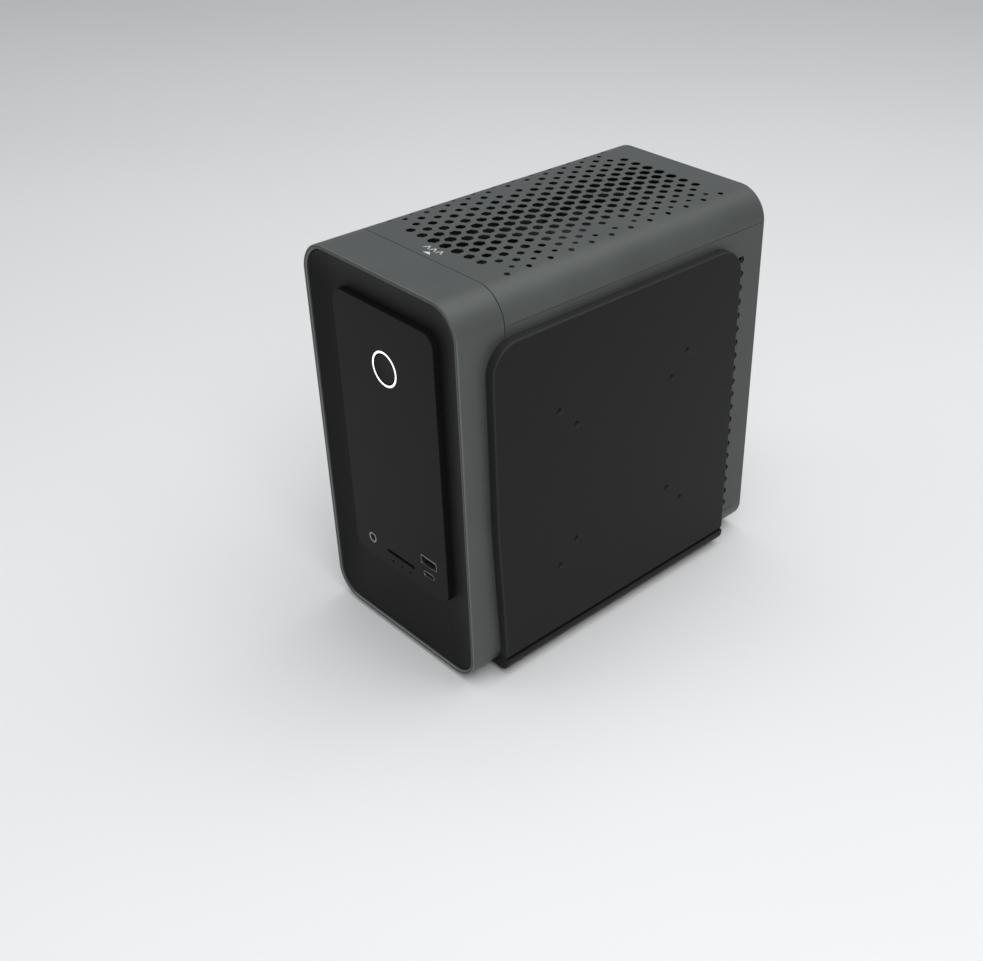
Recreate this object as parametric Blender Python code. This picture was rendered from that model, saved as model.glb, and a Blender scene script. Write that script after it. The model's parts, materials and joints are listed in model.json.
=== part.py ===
"""An upright desktop computer of about six litres: a rounded aluminium enclosure with a dished front,
a perforated cover that slides back to open, and everything that it holds inside. Metres, +Z up.

Every piece hangs on one empty, the body frame: its X runs to the right side of the enclosure, its Y from
the front lip to the rear, and its Z up from the underside of the enclosure."""

import math

import bmesh
import bpy
from mathutils import Vector
from mathutils.geometry import tessellate_polygon

# Enclosure.
WIDTH = 0.126
DEPTH = 0.230
HEIGHT = 0.230
FOOT_HEIGHT = 0.003
PLATE_PROUD = 0.006
SCREW_PROUD = 0.003
TOP_RADIUS = 0.0189
BOTTOM_RADIUS = 0.0170
CORNER_STEPS = 6
WALL = 0.002
GAP = 0.0003

# Front end: a band round the front, a dished bezel in it, and a raised panel in the middle.
BAND_DEPTH = 0.0301
LIP = 0.0025
LIP_CHAMFER = 0.0005
BEZEL_FRONT = 0.0012
BEZEL_FLOOR = 0.0055
BEZEL_BACK = 0.009
PANEL_HALF_WIDTH = 0.0416
PANEL_BOTTOM = 0.0428
PANEL_TOP = 0.2088
PANEL_RADIUS = 0.008
PANEL_FACE = 0.00175
PANEL_BACK = 0.011

# Front controls and sockets, each centred at (x, z) on the panel.
POWER_CENTRE = (0.0, 0.1750)
POWER_OPENING_RADIUS = 0.0107
RING_OUTER_RADIUS = 0.0102
RING_INNER_RADIUS = 0.0090
BUTTON_RADIUS = 0.0083
JACK_CENTRE = (-0.0261, 0.0552)
JACK_RADIUS = 0.0033
CARD_CENTRE = (0.0, 0.0536)
CARD_SIZE = (0.0255, 0.0030)
LED_CENTRES = ((-0.0077, 0.0479), (0.0, 0.0479), (0.0077, 0.0479))
LED_RADIUS = 0.0009
USB_A_CENTRE = (0.0258, 0.0642)
USB_A_SIZE = (0.0134, 0.0057)
USB_C_CENTRE = (0.0254, 0.0554)
USB_C_SIZE = (0.0093, 0.0033)
SOCKET_FACE = 0.0016
SOCKET_BACK = 0.0165

# Covers. The two half shells meet the side panels at seams along the corners.
COVER_FRONT = BAND_DEPTH + GAP
TOP_REACH = 0.0178
BOTTOM_REACH = BOTTOM_RADIUS
VENT_ROWS = 23
VENT_LAST_COLUMN = 10
VENT_GAP_COLUMN = 8
VENT_GAP_ROWS = (0, 10, 12, 22)
VENT_FIRST_ROW_Y = 0.0467
VENT_ROW_PITCH = 0.00736
VENT_COLUMN_PITCH = 0.00476
VENT_CENTRE_X = -0.0011
VENT_RADII = (0.0034, 0.0034, 0.0030, 0.0027, 0.0022, 0.0016)

# Side panels' slots: their centres along Z and along Y.
RIGHT_SLOT_SIZE = (0.0050, 0.0840)
RIGHT_SLOT_YS = (0.0785, 0.1725)
RIGHT_SLOT_ROWS = 20
RIGHT_SLOT_PITCH = 0.0089
RIGHT_SLOT_FIRST_Z = 0.0242

# Side mounting plate, with two square patterns of M4 holes. Its foot wraps round the lower corner.
PLATE_FRONT_Y = 0.0165
PLATE_REAR_Y = 0.205
PLATE_BOTTOM_Z = 0.0003
PLATE_TOP_Z = 0.2062
PLATE_RADIUS = 0.017
PLATE_FOOT_RADIUS = 0.007
PLATE_FOOT_END_X = 0.0535
PLATE_FOOT_FRONT_Y = 0.0203
PLATE_TAPER_Z = 0.095
PLATE_GROOVE_Z = (0.0094, 0.0110)
PLATE_GROOVE_DEPTH = 0.0012
PATTERN_CENTRE = (0.1111, 0.1049)
PATTERN_PITCHES = (0.075, 0.100)
M4_RADIUS = 0.002

# Rear end.
REAR_PANEL_Y = 0.222
REAR_PANEL_THICKNESS = 0.0015
FLANGE_Y = 0.225
THUMBSCREW_CENTRES = ((-0.040, 0.2205), (0.040, 0.2205))
IO_OPENING = (-0.0560, 0.0490, -0.0190, 0.2000)
REAR_VENT_XS = (-0.0085, 0.0, 0.0085)
CARD_OPENING = (0.0140, 0.0740, 0.0550, 0.1900)
SOCKET_REAR = 0.2245
SOCKET_FLOOR = 0.2105
GRAPHICS_OUTLET_ZS = (0.092, 0.114, 0.136)

# Connectors up the main board: the centre z, the size along Z and the reach from the board of each.
BOARD_SOCKETS = {
    "audio_jacks": (0.1825, 0.0120, 0.0330),
    "lan_port": (0.1635, 0.0160, 0.0135),
    "usb_stack_1": (0.1430, 0.0134, 0.0160),
    "usb_stack_2": (0.1240, 0.0134, 0.0160),
    "display_sockets": (0.0925, 0.0376, 0.0066),
}
DISPLAY_OUTLET_ZS = (0.1030, 0.0820)

# Insides.
BOARD_X = -0.056
BOARD_THICKNESS = 0.0016
BOARD_FACE_X = BOARD_X + BOARD_THICKNESS + GAP
FAN_SIZE = 0.092
FAN_THICKNESS = 0.015
FAN_BASE = 0.0025
TOP_FAN_Z = 0.192
TOP_FAN_YS = (0.0795, 0.1725)
CPU_CENTRE = (0.129, 0.131)
GRAPHICS_CENTRE = (0.120, 0.131)
SUPPLY_LOW = (-0.04075, 0.070, 0.0053)
SUPPLY_HIGH = (0.04075, 0.2200, 0.0458)
SUPPLY_FAN_CENTRE = (-0.0185, 0.0255)
INLET_CENTRE = (0.0215, 0.0255)

# Colours, linear.
SHELL = (0.125, 0.135, 0.130)
DARK_PLASTIC = (0.022, 0.022, 0.023)
BLACK = (0.012, 0.012, 0.012)
STEEL = (0.55, 0.55, 0.55)
CIRCUIT_BOARD = (0.015, 0.035, 0.022)
GLOW = (0.95, 0.97, 1.0)


def clear_scene():
    for obj in list(bpy.data.objects):
        bpy.data.objects.remove(obj, do_unlink=True)


def make_body_frame():
    frame = bpy.data.objects.new("body_frame", None)
    frame.location = (-PLATE_PROUD / 2, -(DEPTH + SCREW_PROUD) / 2, FOOT_HEIGHT)
    bpy.context.scene.collection.objects.link(frame)
    return frame


# Outlines: lists of points in a plane.


def arc(centre, radius, start, end, steps):
    """Points from start to end, angles in degrees."""
    turns = [math.radians(start + (end - start) * i / steps) for i in range(steps + 1)]
    return [(centre[0] + radius * math.cos(t), centre[1] + radius * math.sin(t)) for t in turns]


def circle(centre, radius, sides):
    return arc(centre, radius, 0, 360, sides)[:-1]


def rectangle(low_a, low_b, high_a, high_b):
    return [(low_a, low_b), (high_a, low_b), (high_a, high_b), (low_a, high_b)]


def centred(centre, size):
    return rectangle(
        centre[0] - size[0] / 2, centre[1] - size[1] / 2, centre[0] + size[0] / 2, centre[1] + size[1] / 2
    )


def rounded(low_a, low_b, high_a, high_b, low_radius, high_radius, steps=CORNER_STEPS):
    """A rectangle whose two lower and two upper corners have their own radii."""
    return (
        arc((high_a - low_radius, low_b + low_radius), low_radius, -90, 0, steps)
        + arc((high_a - high_radius, high_b - high_radius), high_radius, 0, 90, steps)
        + arc((low_a + high_radius, high_b - high_radius), high_radius, 90, 180, steps)
        + arc((low_a + low_radius, low_b + low_radius), low_radius, 180, 270, steps)
    )


def enclosure(inset):
    """The enclosure's outline seen from the front, moved inwards by inset."""
    low, high = (inset - WIDTH / 2, inset), (WIDTH / 2 - inset, HEIGHT - inset)
    return rounded(*low, *high, BOTTOM_RADIUS - inset, TOP_RADIUS - inset)


def panel(grow):
    """The raised front panel's outline, grown by grow."""
    radius, half_width = PANEL_RADIUS + grow, PANEL_HALF_WIDTH + grow
    return rounded(-half_width, PANEL_BOTTOM - grow, half_width, PANEL_TOP + grow, radius, radius)


def pill(centre, size, steps=4):
    """A flat-sided slot with round ends, longer along its first axis."""
    radius = size[1] / 2
    reach = size[0] / 2 - radius
    return arc((centre[0] + reach, centre[1]), radius, -90, 90, steps) + arc(
        (centre[0] - reach, centre[1]), radius, 90, 270, steps
    )


def long_hexagon(centre, size):
    """A slot with pointed ends, longer along its second axis."""
    half = size[0] / 2
    point = half / math.sqrt(3)
    straight = size[1] / 2 - point
    right = [(half, -straight), (half, straight), (0, straight + point)]
    outline = right + [(-a, -b) for a, b in right]
    return [(centre[0] + a, centre[1] + b) for a, b in outline]


def half_shell_path(radius, inset, reach):
    """Over a flat face and down both round corners, as (x, distance from that face), from right to left."""
    corner = radius - inset
    start = math.degrees(math.asin(max(0.0, radius - reach) / corner))
    right = arc((WIDTH / 2 - radius, 0.0), corner, start, 90, CORNER_STEPS)
    right = [(x, radius - rise) for x, rise in right]
    return right + [(-x, distance) for x, distance in reversed(right)]


# Solids.


def place(axis, a, b, level):
    return Vector({"X": (level, a, b), "Y": (a, level, b), "Z": (a, b, level)}[axis])


def finish(bm, name, parent, location=(0, 0, 0)):
    bmesh.ops.recalc_face_normals(bm, faces=bm.faces)
    mesh = bpy.data.meshes.new(name)
    bm.to_mesh(mesh)
    bm.free()
    mesh.shade_smooth()
    mesh.set_sharp_from_angle(angle=math.radians(30))
    obj = bpy.data.objects.new(name, mesh)
    obj.location = location
    obj.parent = parent
    bpy.context.scene.collection.objects.link(obj)
    return obj


def ring(bm, outline, axis, level):
    return [bm.verts.new(place(axis, a, b, level)) for a, b in outline]


def add_cap(bm, outlines, rings):
    """Fills between the first outline and the others, which are holes. The rings are their vertices."""
    corners = [corner for one in rings for corner in one]
    for indices in tessellate_polygon([[Vector((a, b, 0)) for a, b in loop] for loop in outlines]):
        bm.faces.new([corners[i] for i in indices])


def add_wall(bm, near, far):
    for i in range(len(near)):
        j = (i + 1) % len(near)
        bm.faces.new([near[i], near[j], far[j], far[i]])


def add_prism(bm, outlines, axis, low, high):
    """Adds the first outline, less the others as holes, between two levels along axis."""
    lower = [ring(bm, loop, axis, low) for loop in outlines]
    upper = [ring(bm, loop, axis, high) for loop in outlines]
    add_cap(bm, outlines, lower)
    add_cap(bm, outlines, upper)
    for near, far in zip(lower, upper):
        add_wall(bm, near, far)


def prism(name, outlines, axis, low, high):
    bm = bmesh.new()
    add_prism(bm, outlines, axis, low, high)
    return finish(bm, name, BODY)


def box(name, low, high):
    return prism(name, [rectangle(low[0], low[1], high[0], high[1])], "Z", low[2], high[2])


def loft(name, loops, closed):
    """Skins equal loops of points in order. A closed loft joins its last to its first, others get caps."""
    bm = bmesh.new()
    rings = [[bm.verts.new(point) for point in loop] for loop in loops]
    for near, far in zip(rings, rings[1:]):
        add_wall(bm, near, far)
    if closed:
        add_wall(bm, rings[-1], rings[0])
    else:
        bm.faces.new(rings[0])
        bm.faces.new(rings[-1])
    return finish(bm, name, BODY)


def at_depth(outline, y):
    return [Vector((x, y, z)) for x, z in outline]


def turned(name, profile, location, axis, sides):
    """Spins a profile of (radius, distance along axis), which ends on the axis or closes on itself."""
    bm = bmesh.new()
    rings = []
    for radius, along in profile:
        points = circle((0, 0), radius, sides) if radius else [(0, 0)]
        rings.append(ring(bm, points, axis, along))
    pairs = list(zip(rings, rings[1:]))
    if len(rings[0]) > 1:
        pairs.append((rings[-1], rings[0]))
    for near, far in pairs:
        for i in range(sides):
            j = (i + 1) % sides
            corners = [near[i % len(near)], near[j % len(near)], far[j % len(far)], far[i % len(far)]]
            bm.faces.new(list(dict.fromkeys(corners)))
    return finish(bm, name, BODY, location)


def boolean(obj, other, operation):
    """Cuts or joins with a helper, which then stays out of sight."""
    other.hide_render = True
    other.display_type = "WIRE"
    modifier = obj.modifiers.new(other.name, "BOOLEAN")
    modifier.operation = operation
    modifier.object = other
    return obj


def paint(obj, colour, roughness, metallic=0.0):
    material = bpy.data.materials.new(obj.name)
    material.use_nodes = True
    shader = material.node_tree.nodes["Principled BSDF"]
    shader.inputs["Base Color"].default_value = (*colour, 1.0)
    shader.inputs["Roughness"].default_value = roughness
    shader.inputs["Metallic"].default_value = metallic
    obj.data.materials.append(material)
    return obj


# Front end.


def make_front_band():
    sections = [
        (0.0, LIP_CHAMFER),
        (LIP_CHAMFER, 0.0),
        (LIP - LIP_CHAMFER, 0.0),
        (LIP, LIP_CHAMFER),
        (LIP, BAND_DEPTH),
        (0.0, BAND_DEPTH),
    ]
    paint(loft("front_band", [at_depth(enclosure(i), y) for i, y in sections], True), SHELL, 0.4, 0.6)


def make_front_bezel():
    """Its face falls from the lip to the foot of the raised panel in a hollow curve."""
    outer, inner = enclosure(LIP + GAP), panel(GAP)
    steps = 4
    loops = []
    for i in range(steps + 1):
        share = i / steps
        depth = BEZEL_FRONT + (BEZEL_FLOOR - BEZEL_FRONT) * math.sin(share * math.pi / 2)
        mixed = [(a + (c - a) * share, b + (d - b) * share) for (a, b), (c, d) in zip(outer, inner)]
        loops.append(at_depth(mixed, depth))
    loops += [at_depth(inner, BEZEL_BACK), at_depth(outer, BEZEL_BACK)]
    paint(loft("front_bezel", loops, True), DARK_PLASTIC, 0.45)


def make_front_panel():
    openings = [
        circle(POWER_CENTRE, POWER_OPENING_RADIUS, 24),
        circle(JACK_CENTRE, JACK_RADIUS + GAP, 16),
        centred(CARD_CENTRE, [size + 2 * GAP for size in CARD_SIZE]),
        centred(USB_A_CENTRE, [size + 2 * GAP for size in USB_A_SIZE]),
        pill(USB_C_CENTRE, [size + 2 * GAP for size in USB_C_SIZE]),
    ]
    openings += [circle(centre, LED_RADIUS + GAP, 8) for centre in LED_CENTRES]
    paint(prism("front_panel", [panel(0.0), *openings], "Y", PANEL_FACE, PANEL_BACK), DARK_PLASTIC, 0.35)


def make_power_control():
    """A glowing ring round a button, and the switch behind it. The button's origin is on its face."""
    x, z = POWER_CENTRE
    ring_face, ring_back = 0.0015, 0.0070
    ring = [
        (RING_INNER_RADIUS, ring_face),
        (RING_OUTER_RADIUS, ring_face),
        (RING_OUTER_RADIUS, ring_back),
        (RING_INNER_RADIUS, ring_back),
    ]
    paint(turned("power_ring", ring, (x, 0, z), "Y", 24), GLOW, 0.3)
    dish, thickness = 0.0004, 0.0052
    button = [(0, dish), (BUTTON_RADIUS - 0.001, dish / 2), (BUTTON_RADIUS, 0), (BUTTON_RADIUS, thickness)]
    button.append((0, thickness))
    paint(turned("power_button", button, (x, PANEL_FACE, z), "Y", 24), DARK_PLASTIC, 0.3)
    board = box("power_switch", (x - 0.012, 0.0122, z - 0.012), (x + 0.012, 0.0138, z + 0.012))
    switch = box("switch_body", (x - 0.003, 0.0095, z - 0.003), (x + 0.003, 0.0125, z + 0.003))
    radius, tip, root = 0.0016, 0.0081, 0.0100
    plunger = [(0, tip), (radius, tip), (radius, root), (0, root)]
    boolean(board, switch, "UNION")
    boolean(board, turned("switch_plunger", plunger, (x, 0, z), "Y", 12), "UNION")
    paint(board, CIRCUIT_BOARD, 0.5)


def socket(name, outer, inner, face, floor, back, tongue):
    """A cup that opens at face, with an optional tongue given as its low and high corner."""
    loops = [at_depth(inner, floor), at_depth(inner, face), at_depth(outer, face), at_depth(outer, back)]
    obj = loft(name, loops, False)
    if tongue:
        boolean(obj, box(name + "_tongue", *tongue), "UNION")
    return paint(obj, STEEL, 0.3, 0.9)


def make_front_sockets():
    floor, tongue_face, overlap = 0.0140, 0.0030, 0.0005
    jack_bore = 0.0018
    jack = [(0, floor), (jack_bore, floor), (jack_bore, SOCKET_FACE), (JACK_RADIUS, SOCKET_FACE)]
    jack += [(JACK_RADIUS, SOCKET_BACK), (0, SOCKET_BACK)]
    paint(turned("headset_jack", jack, (JACK_CENTRE[0], 0, JACK_CENTRE[1]), "Y", 16), STEEL, 0.3, 0.9)

    rim = 0.0004
    inner_card = [CARD_SIZE[0] - 2 * rim, CARD_SIZE[1] - 2 * rim]
    card = socket(
        "card_slot", centred(CARD_CENTRE, CARD_SIZE), centred(CARD_CENTRE, inner_card),
        SOCKET_FACE, floor, SOCKET_BACK, None,
    )
    card.data.materials.clear()
    paint(card, BLACK, 0.4)

    x, z = USB_A_CENTRE
    inner_a = [size - 0.0009 for size in USB_A_SIZE]
    tongue = ((x - 0.0055, tongue_face, z + 0.0001), (x + 0.0055, floor + overlap, z + 0.0017))
    socket(
        "usb_a_port", centred(USB_A_CENTRE, USB_A_SIZE), centred(USB_A_CENTRE, inner_a),
        SOCKET_FACE, floor, SOCKET_BACK, tongue,
    )
    x, z = USB_C_CENTRE
    inner_c = [size - 0.0008 for size in USB_C_SIZE]
    tongue = ((x - 0.0033, tongue_face, z - 0.00035), (x + 0.0033, floor + overlap, z + 0.00035))
    socket(
        "usb_c_port", pill(USB_C_CENTRE, USB_C_SIZE), pill(USB_C_CENTRE, inner_c),
        SOCKET_FACE, floor, SOCKET_BACK, tongue,
    )
    for i, (x, z) in enumerate(LED_CENTRES, start=1):
        lens = [(0, PANEL_FACE), (LED_RADIUS, PANEL_FACE), (LED_RADIUS, SOCKET_BACK), (0, SOCKET_BACK)]
        paint(turned(f"status_led_{i}", lens, (x, 0, z), "Y", 8), GLOW, 0.2)
    board_low, board_high = (-0.038, SOCKET_BACK + GAP, 0.0435), (0.038, SOCKET_BACK + GAP + 0.0016, 0.0715)
    paint(box("front_io_board", board_low, board_high), CIRCUIT_BOARD, 0.5)


# Covers and panels.


def vent_centres():
    """A staggered grid over the top. Four of its rows skip one column near each edge."""
    for row in range(VENT_ROWS):
        for column in range(-VENT_LAST_COLUMN, VENT_LAST_COLUMN + 1):
            is_gap = row in VENT_GAP_ROWS and abs(column) == VENT_GAP_COLUMN
            if (row + column) % 2 or is_gap:
                continue
            centre = (VENT_CENTRE_X + column * VENT_COLUMN_PITCH, VENT_FIRST_ROW_Y + row * VENT_ROW_PITCH)
            yield centre, VENT_RADII[(abs(column) + 1) // 2]


def make_top_cover():
    """A half shell whose hexagonal vents shrink towards its sides, and a flange for the thumbscrews."""
    outline = half_shell_path(TOP_RADIUS, 0.0, TOP_REACH)
    outline += reversed(half_shell_path(TOP_RADIUS, WALL, TOP_REACH))
    outline = [(x, HEIGHT - distance) for x, distance in outline]
    cover = prism("top_cover", [outline], "Y", COVER_FRONT, DEPTH)
    bm = bmesh.new()
    for (x, y), radius in vent_centres():
        corners = [(x + b, y + a) for a, b in circle((0, 0), radius, 6)]
        add_prism(bm, [corners], "Z", HEIGHT - 5 * WALL, HEIGHT + WALL)
    boolean(cover, finish(bm, "top_vents", BODY), "DIFFERENCE")
    flange_half, flange_bottom, hole = 0.050, 0.2135, 0.0025
    flange = [rectangle(-flange_half, flange_bottom, flange_half, HEIGHT - WALL / 2)]
    flange += [circle(centre, hole, 12) for centre in THUMBSCREW_CENTRES]
    boolean(cover, prism("rear_flange", flange, "Y", FLANGE_Y, FLANGE_Y + WALL), "UNION")
    paint(cover, SHELL, 0.4, 0.6)


def make_thumbscrews():
    """Each origin is on the screw's own axis."""
    head, shank = 0.0055, 0.0018
    head_face = DEPTH + SCREW_PROUD
    head_back = FLANGE_Y + WALL + GAP
    tip = REAR_PANEL_Y + REAR_PANEL_THICKNESS + GAP
    profile = [(0, tip), (shank, tip), (shank, head_back), (head, head_back)]
    profile += [(head, head_face - 0.0006), (head - 0.0006, head_face), (0, head_face)]
    for i, (x, z) in enumerate(THUMBSCREW_CENTRES, start=1):
        paint(turned(f"thumbscrew_{i}", profile, (x, 0, z), "Y", 16), STEEL, 0.3, 0.9)


def make_bottom_cover():
    outline = half_shell_path(BOTTOM_RADIUS, 0.0, BOTTOM_REACH - GAP)
    outline += reversed(half_shell_path(BOTTOM_RADIUS, WALL, BOTTOM_REACH - GAP))
    cover = prism("bottom_cover", [outline], "Y", COVER_FRONT, DEPTH)
    bm = bmesh.new()
    slot_size, pitch, count = (0.0050, 0.060), 0.0090, 9
    for i in range(count):
        x = (i - (count - 1) / 2) * pitch
        add_prism(bm, [long_hexagon((x, 0.130), slot_size)], "Z", -WALL, 2 * WALL)
    boolean(cover, finish(bm, "bottom_vents", BODY), "DIFFERENCE")
    paint(cover, SHELL, 0.4, 0.6)


def make_side_panels():
    """Flat sheets between the half shells, with upright slots on the left and level ones on the right."""
    low, high = BOTTOM_REACH, HEIGHT - TOP_REACH - GAP
    sheet = rectangle(COVER_FRONT, low, DEPTH, high)
    rows, columns = 2, 12
    slots = [
        long_hexagon((0.060 + column * 0.0115, 0.075 + row * 0.075), (0.0060, 0.060))
        for row in range(rows)
        for column in range(columns)
    ]
    left = prism("left_side_panel", [sheet, *slots], "X", -WIDTH / 2, WALL - WIDTH / 2)
    slots = []
    for row in range(RIGHT_SLOT_ROWS):
        slot_z = RIGHT_SLOT_FIRST_Z + row * RIGHT_SLOT_PITCH
        for slot_y in RIGHT_SLOT_YS:
            slots.append([(b, a) for a, b in long_hexagon((slot_z, slot_y), RIGHT_SLOT_SIZE)])
    right = prism("right_side_panel", [sheet, *slots], "X", WIDTH / 2 - WALL, WIDTH / 2)
    paint(left, SHELL, 0.5, 0.3)
    paint(right, SHELL, 0.5, 0.3)


def plate_section(back, face):
    """The plate's outline seen from the front, with a foot that wraps round the enclosure's corner."""
    corner, clear = (WIDTH / 2 - BOTTOM_RADIUS, BOTTOM_RADIUS), BOTTOM_RADIUS + GAP
    foot_turn = math.degrees(math.acos((PLATE_FOOT_END_X - corner[0]) / clear))
    low, high = PLATE_GROOVE_Z
    groove = [
        (face, low), (face - PLATE_GROOVE_DEPTH, low), (face - PLATE_GROOVE_DEPTH, high), (face, high),
    ]
    bend = (face - PLATE_FOOT_RADIUS, PLATE_BOTTOM_Z + PLATE_FOOT_RADIUS)
    return (
        [(PLATE_FOOT_END_X, PLATE_BOTTOM_Z)]
        + arc(bend, PLATE_FOOT_RADIUS, -90, 0, CORNER_STEPS)
        + groove
        + [(face, PLATE_TOP_Z), (back, PLATE_TOP_Z)]
        + arc(corner, clear, 0, -foot_turn, CORNER_STEPS)
    )


def plate_outline():
    """The plate's outline seen from its side, with round upper corners and a foot that tapers."""
    top, radius = PLATE_TOP_Z, PLATE_RADIUS
    return (
        [(PLATE_FOOT_FRONT_Y, -WALL), (PLATE_REAR_Y, -WALL)]
        + arc((PLATE_REAR_Y - radius, top - radius), radius, 0, 90, CORNER_STEPS)
        + arc((PLATE_FRONT_Y + radius, top - radius), radius, 90, 180, CORNER_STEPS)
        + [(PLATE_FRONT_Y, PLATE_TAPER_Z)]
    )


def make_side_plate():
    """A mounting plate on the right side, with blind M4 holes on two square patterns."""
    back, front = WIDTH / 2 + GAP, WIDTH / 2 + PLATE_PROUD
    plate = prism("side_plate", [plate_section(back, front)], "Y", 0.0, DEPTH)
    boolean(plate, prism("plate_outline", [plate_outline()], "X", 0.0, WIDTH), "INTERSECT")
    bm = bmesh.new()
    depth = 0.0045
    for pitch in PATTERN_PITCHES:
        for y_side in (-0.5, 0.5):
            for z_side in (-0.5, 0.5):
                centre = (PATTERN_CENTRE[0] + pitch * y_side, PATTERN_CENTRE[1] + pitch * z_side)
                add_prism(bm, [circle(centre, M4_RADIUS, 10)], "X", front - depth, front + depth)
    boolean(plate, finish(bm, "plate_holes", BODY), "DIFFERENCE")
    paint(plate, BLACK, 0.5)


def make_rear_panel():
    low_y, high_y = REAR_PANEL_Y, REAR_PANEL_Y + REAR_PANEL_THICKNESS
    vents = [long_hexagon((x, 0.130), (0.0050, 0.110)) for x in REAR_VENT_XS]
    openings = [
        rectangle(*IO_OPENING),
        rectangle(*CARD_OPENING),
        circle(SUPPLY_FAN_CENTRE, 0.019, 24),
        centred(INLET_CENTRE, (0.0276, 0.0206)),
    ]
    outline = enclosure(WALL + GAP)
    paint(prism("rear_panel", [outline, *openings, *vents], "Y", low_y, high_y), DARK_PLASTIC, 0.5, 0.4)
    head, rise = 0.003, 0.0018
    profile = [(0, 0), (head, 0), (head, rise - 0.0006), (head - 0.001, rise), (0, rise)]
    corners = [(side * 0.0535, z) for side in (-1, 1) for z in (0.0215, 0.2065)]
    for i, (x, z) in enumerate(corners, start=1):
        screw = turned(f"rear_screw_{i}", profile, (x, high_y + GAP, z), "Y", 16)
        paint(screw, STEEL, 0.35, 0.9)


def make_feet():
    radius, rim = 0.007, 0.0005
    profile = [(0, -FOOT_HEIGHT), (radius - rim, -FOOT_HEIGHT), (radius, rim - FOOT_HEIGHT)]
    profile += [(radius, -GAP), (0, -GAP)]
    corners = [(side * 0.040, y) for side in (-1, 1) for y in (0.045, 0.215)]
    for i, (x, y) in enumerate(corners, start=1):
        paint(turned(f"foot_{i}", profile, (x, y, 0), "Z", 20), BLACK, 0.9)


# Insides.


def make_chassis():
    """One folded sheet: a floor, a left wall that the main board stands on, and a front wall."""
    inner, outer, sheet = 0.050, 0.0598, 0.0012
    low, fold, high = 0.0033, 0.0135, 0.2070
    front, rear = 0.0290, REAR_PANEL_Y - GAP
    outline = [
        (inner, low), (-inner, low), (-outer, fold), (-outer, high), (sheet - outer, high),
        (sheet - outer, fold + sheet / 2), (sheet / 2 - inner, low + sheet), (inner, low + sheet),
    ]
    chassis = prism("chassis_frame", [outline], "Y", front, rear)
    wall = [(-inner, low), (inner, low), (outer, fold), (outer, high), (-outer, high), (-outer, fold)]
    window = rectangle(-0.045, 0.060, 0.045, 0.185)
    boolean(chassis, prism("front_wall", [wall, window], "Y", front, front + sheet), "UNION")
    bm = bmesh.new()
    for y in (0.050, 0.208):
        for z in (0.052, 0.184):
            add_prism(bm, [circle((y, z), 0.003, 8)], "X", sheet / 2 - outer, BOARD_X - GAP)
    boolean(chassis, finish(bm, "standoffs", BODY), "UNION")
    paint(chassis, STEEL, 0.5, 0.8)

    fan_hole, level = 0.0435, TOP_FAN_Z + FAN_THICKNESS + GAP
    holes = [circle((0, y), fan_hole, 24) for y in TOP_FAN_YS]
    bracket = [rectangle(-0.0585, front, 0.0585, rear), *holes]
    paint(prism("fan_bracket", bracket, "Z", level, level + sheet), STEEL, 0.5, 0.8)


def blade(bm, inner_radius, outer_radius, height, angle):
    """A swept blade whose leading edge is high and whose trailing edge is low."""
    thickness, steps = 0.0014, 2
    rows = []
    for i in range(steps + 1):
        share = i / steps
        radius = inner_radius + (outer_radius - inner_radius) * share
        lead = angle + math.radians(14) * share ** 2
        span = math.radians(38 - 8 * share)
        row = []
        for turn, level in ((lead, height / 2), (lead + span, -height / 2)):
            for side in (1, -1):
                z = level + side * thickness / 2
                row.append(bm.verts.new((radius * math.cos(turn), radius * math.sin(turn), z)))
        rows.append([row[0], row[2], row[3], row[1]])
    for near, far in zip(rows, rows[1:]):
        for i in range(4):
            j = (i + 1) % 4
            bm.faces.new([near[i], near[j], far[j], far[i]])
    bm.faces.new(rows[0])
    bm.faces.new(list(reversed(rows[-1])))


def make_rotor(name, centre, rotation, radius, height):
    """A hub and its blades about the local Z axis, from 0 up to height."""
    blades, hub = 7, 0.38 * radius
    profile = [(0, 0), (hub, 0), (hub, height - 0.001), (hub - 0.001, height), (0, height)]
    rotor = turned(name, profile, centre, "Z", 20)
    rotor.rotation_euler = rotation
    bm = bmesh.new()
    for i in range(blades):
        blade(bm, hub - 0.001, radius, height - 0.0025, i * math.tau / blades)
    bmesh.ops.translate(bm, verts=bm.verts, vec=(0, 0, height / 2))
    helper = finish(bm, name + "_blades", BODY, centre)
    helper.rotation_euler = rotation
    boolean(rotor, helper, "UNION")
    paint(rotor, BLACK, 0.4)


def sector(inner, outer, arm, turn):
    """The opening between two arms of a fan frame, for a quarter turn that starts at turn degrees."""
    inner_half, outer_half = (math.degrees(math.asin(arm / 2 / radius)) for radius in (inner, outer))
    far = arc((0, 0), outer, turn + outer_half, turn + 90 - outer_half, 5)
    near = arc((0, 0), inner, turn + inner_half, turn + 90 - inner_half, 3)
    return far + list(reversed(near))


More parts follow.
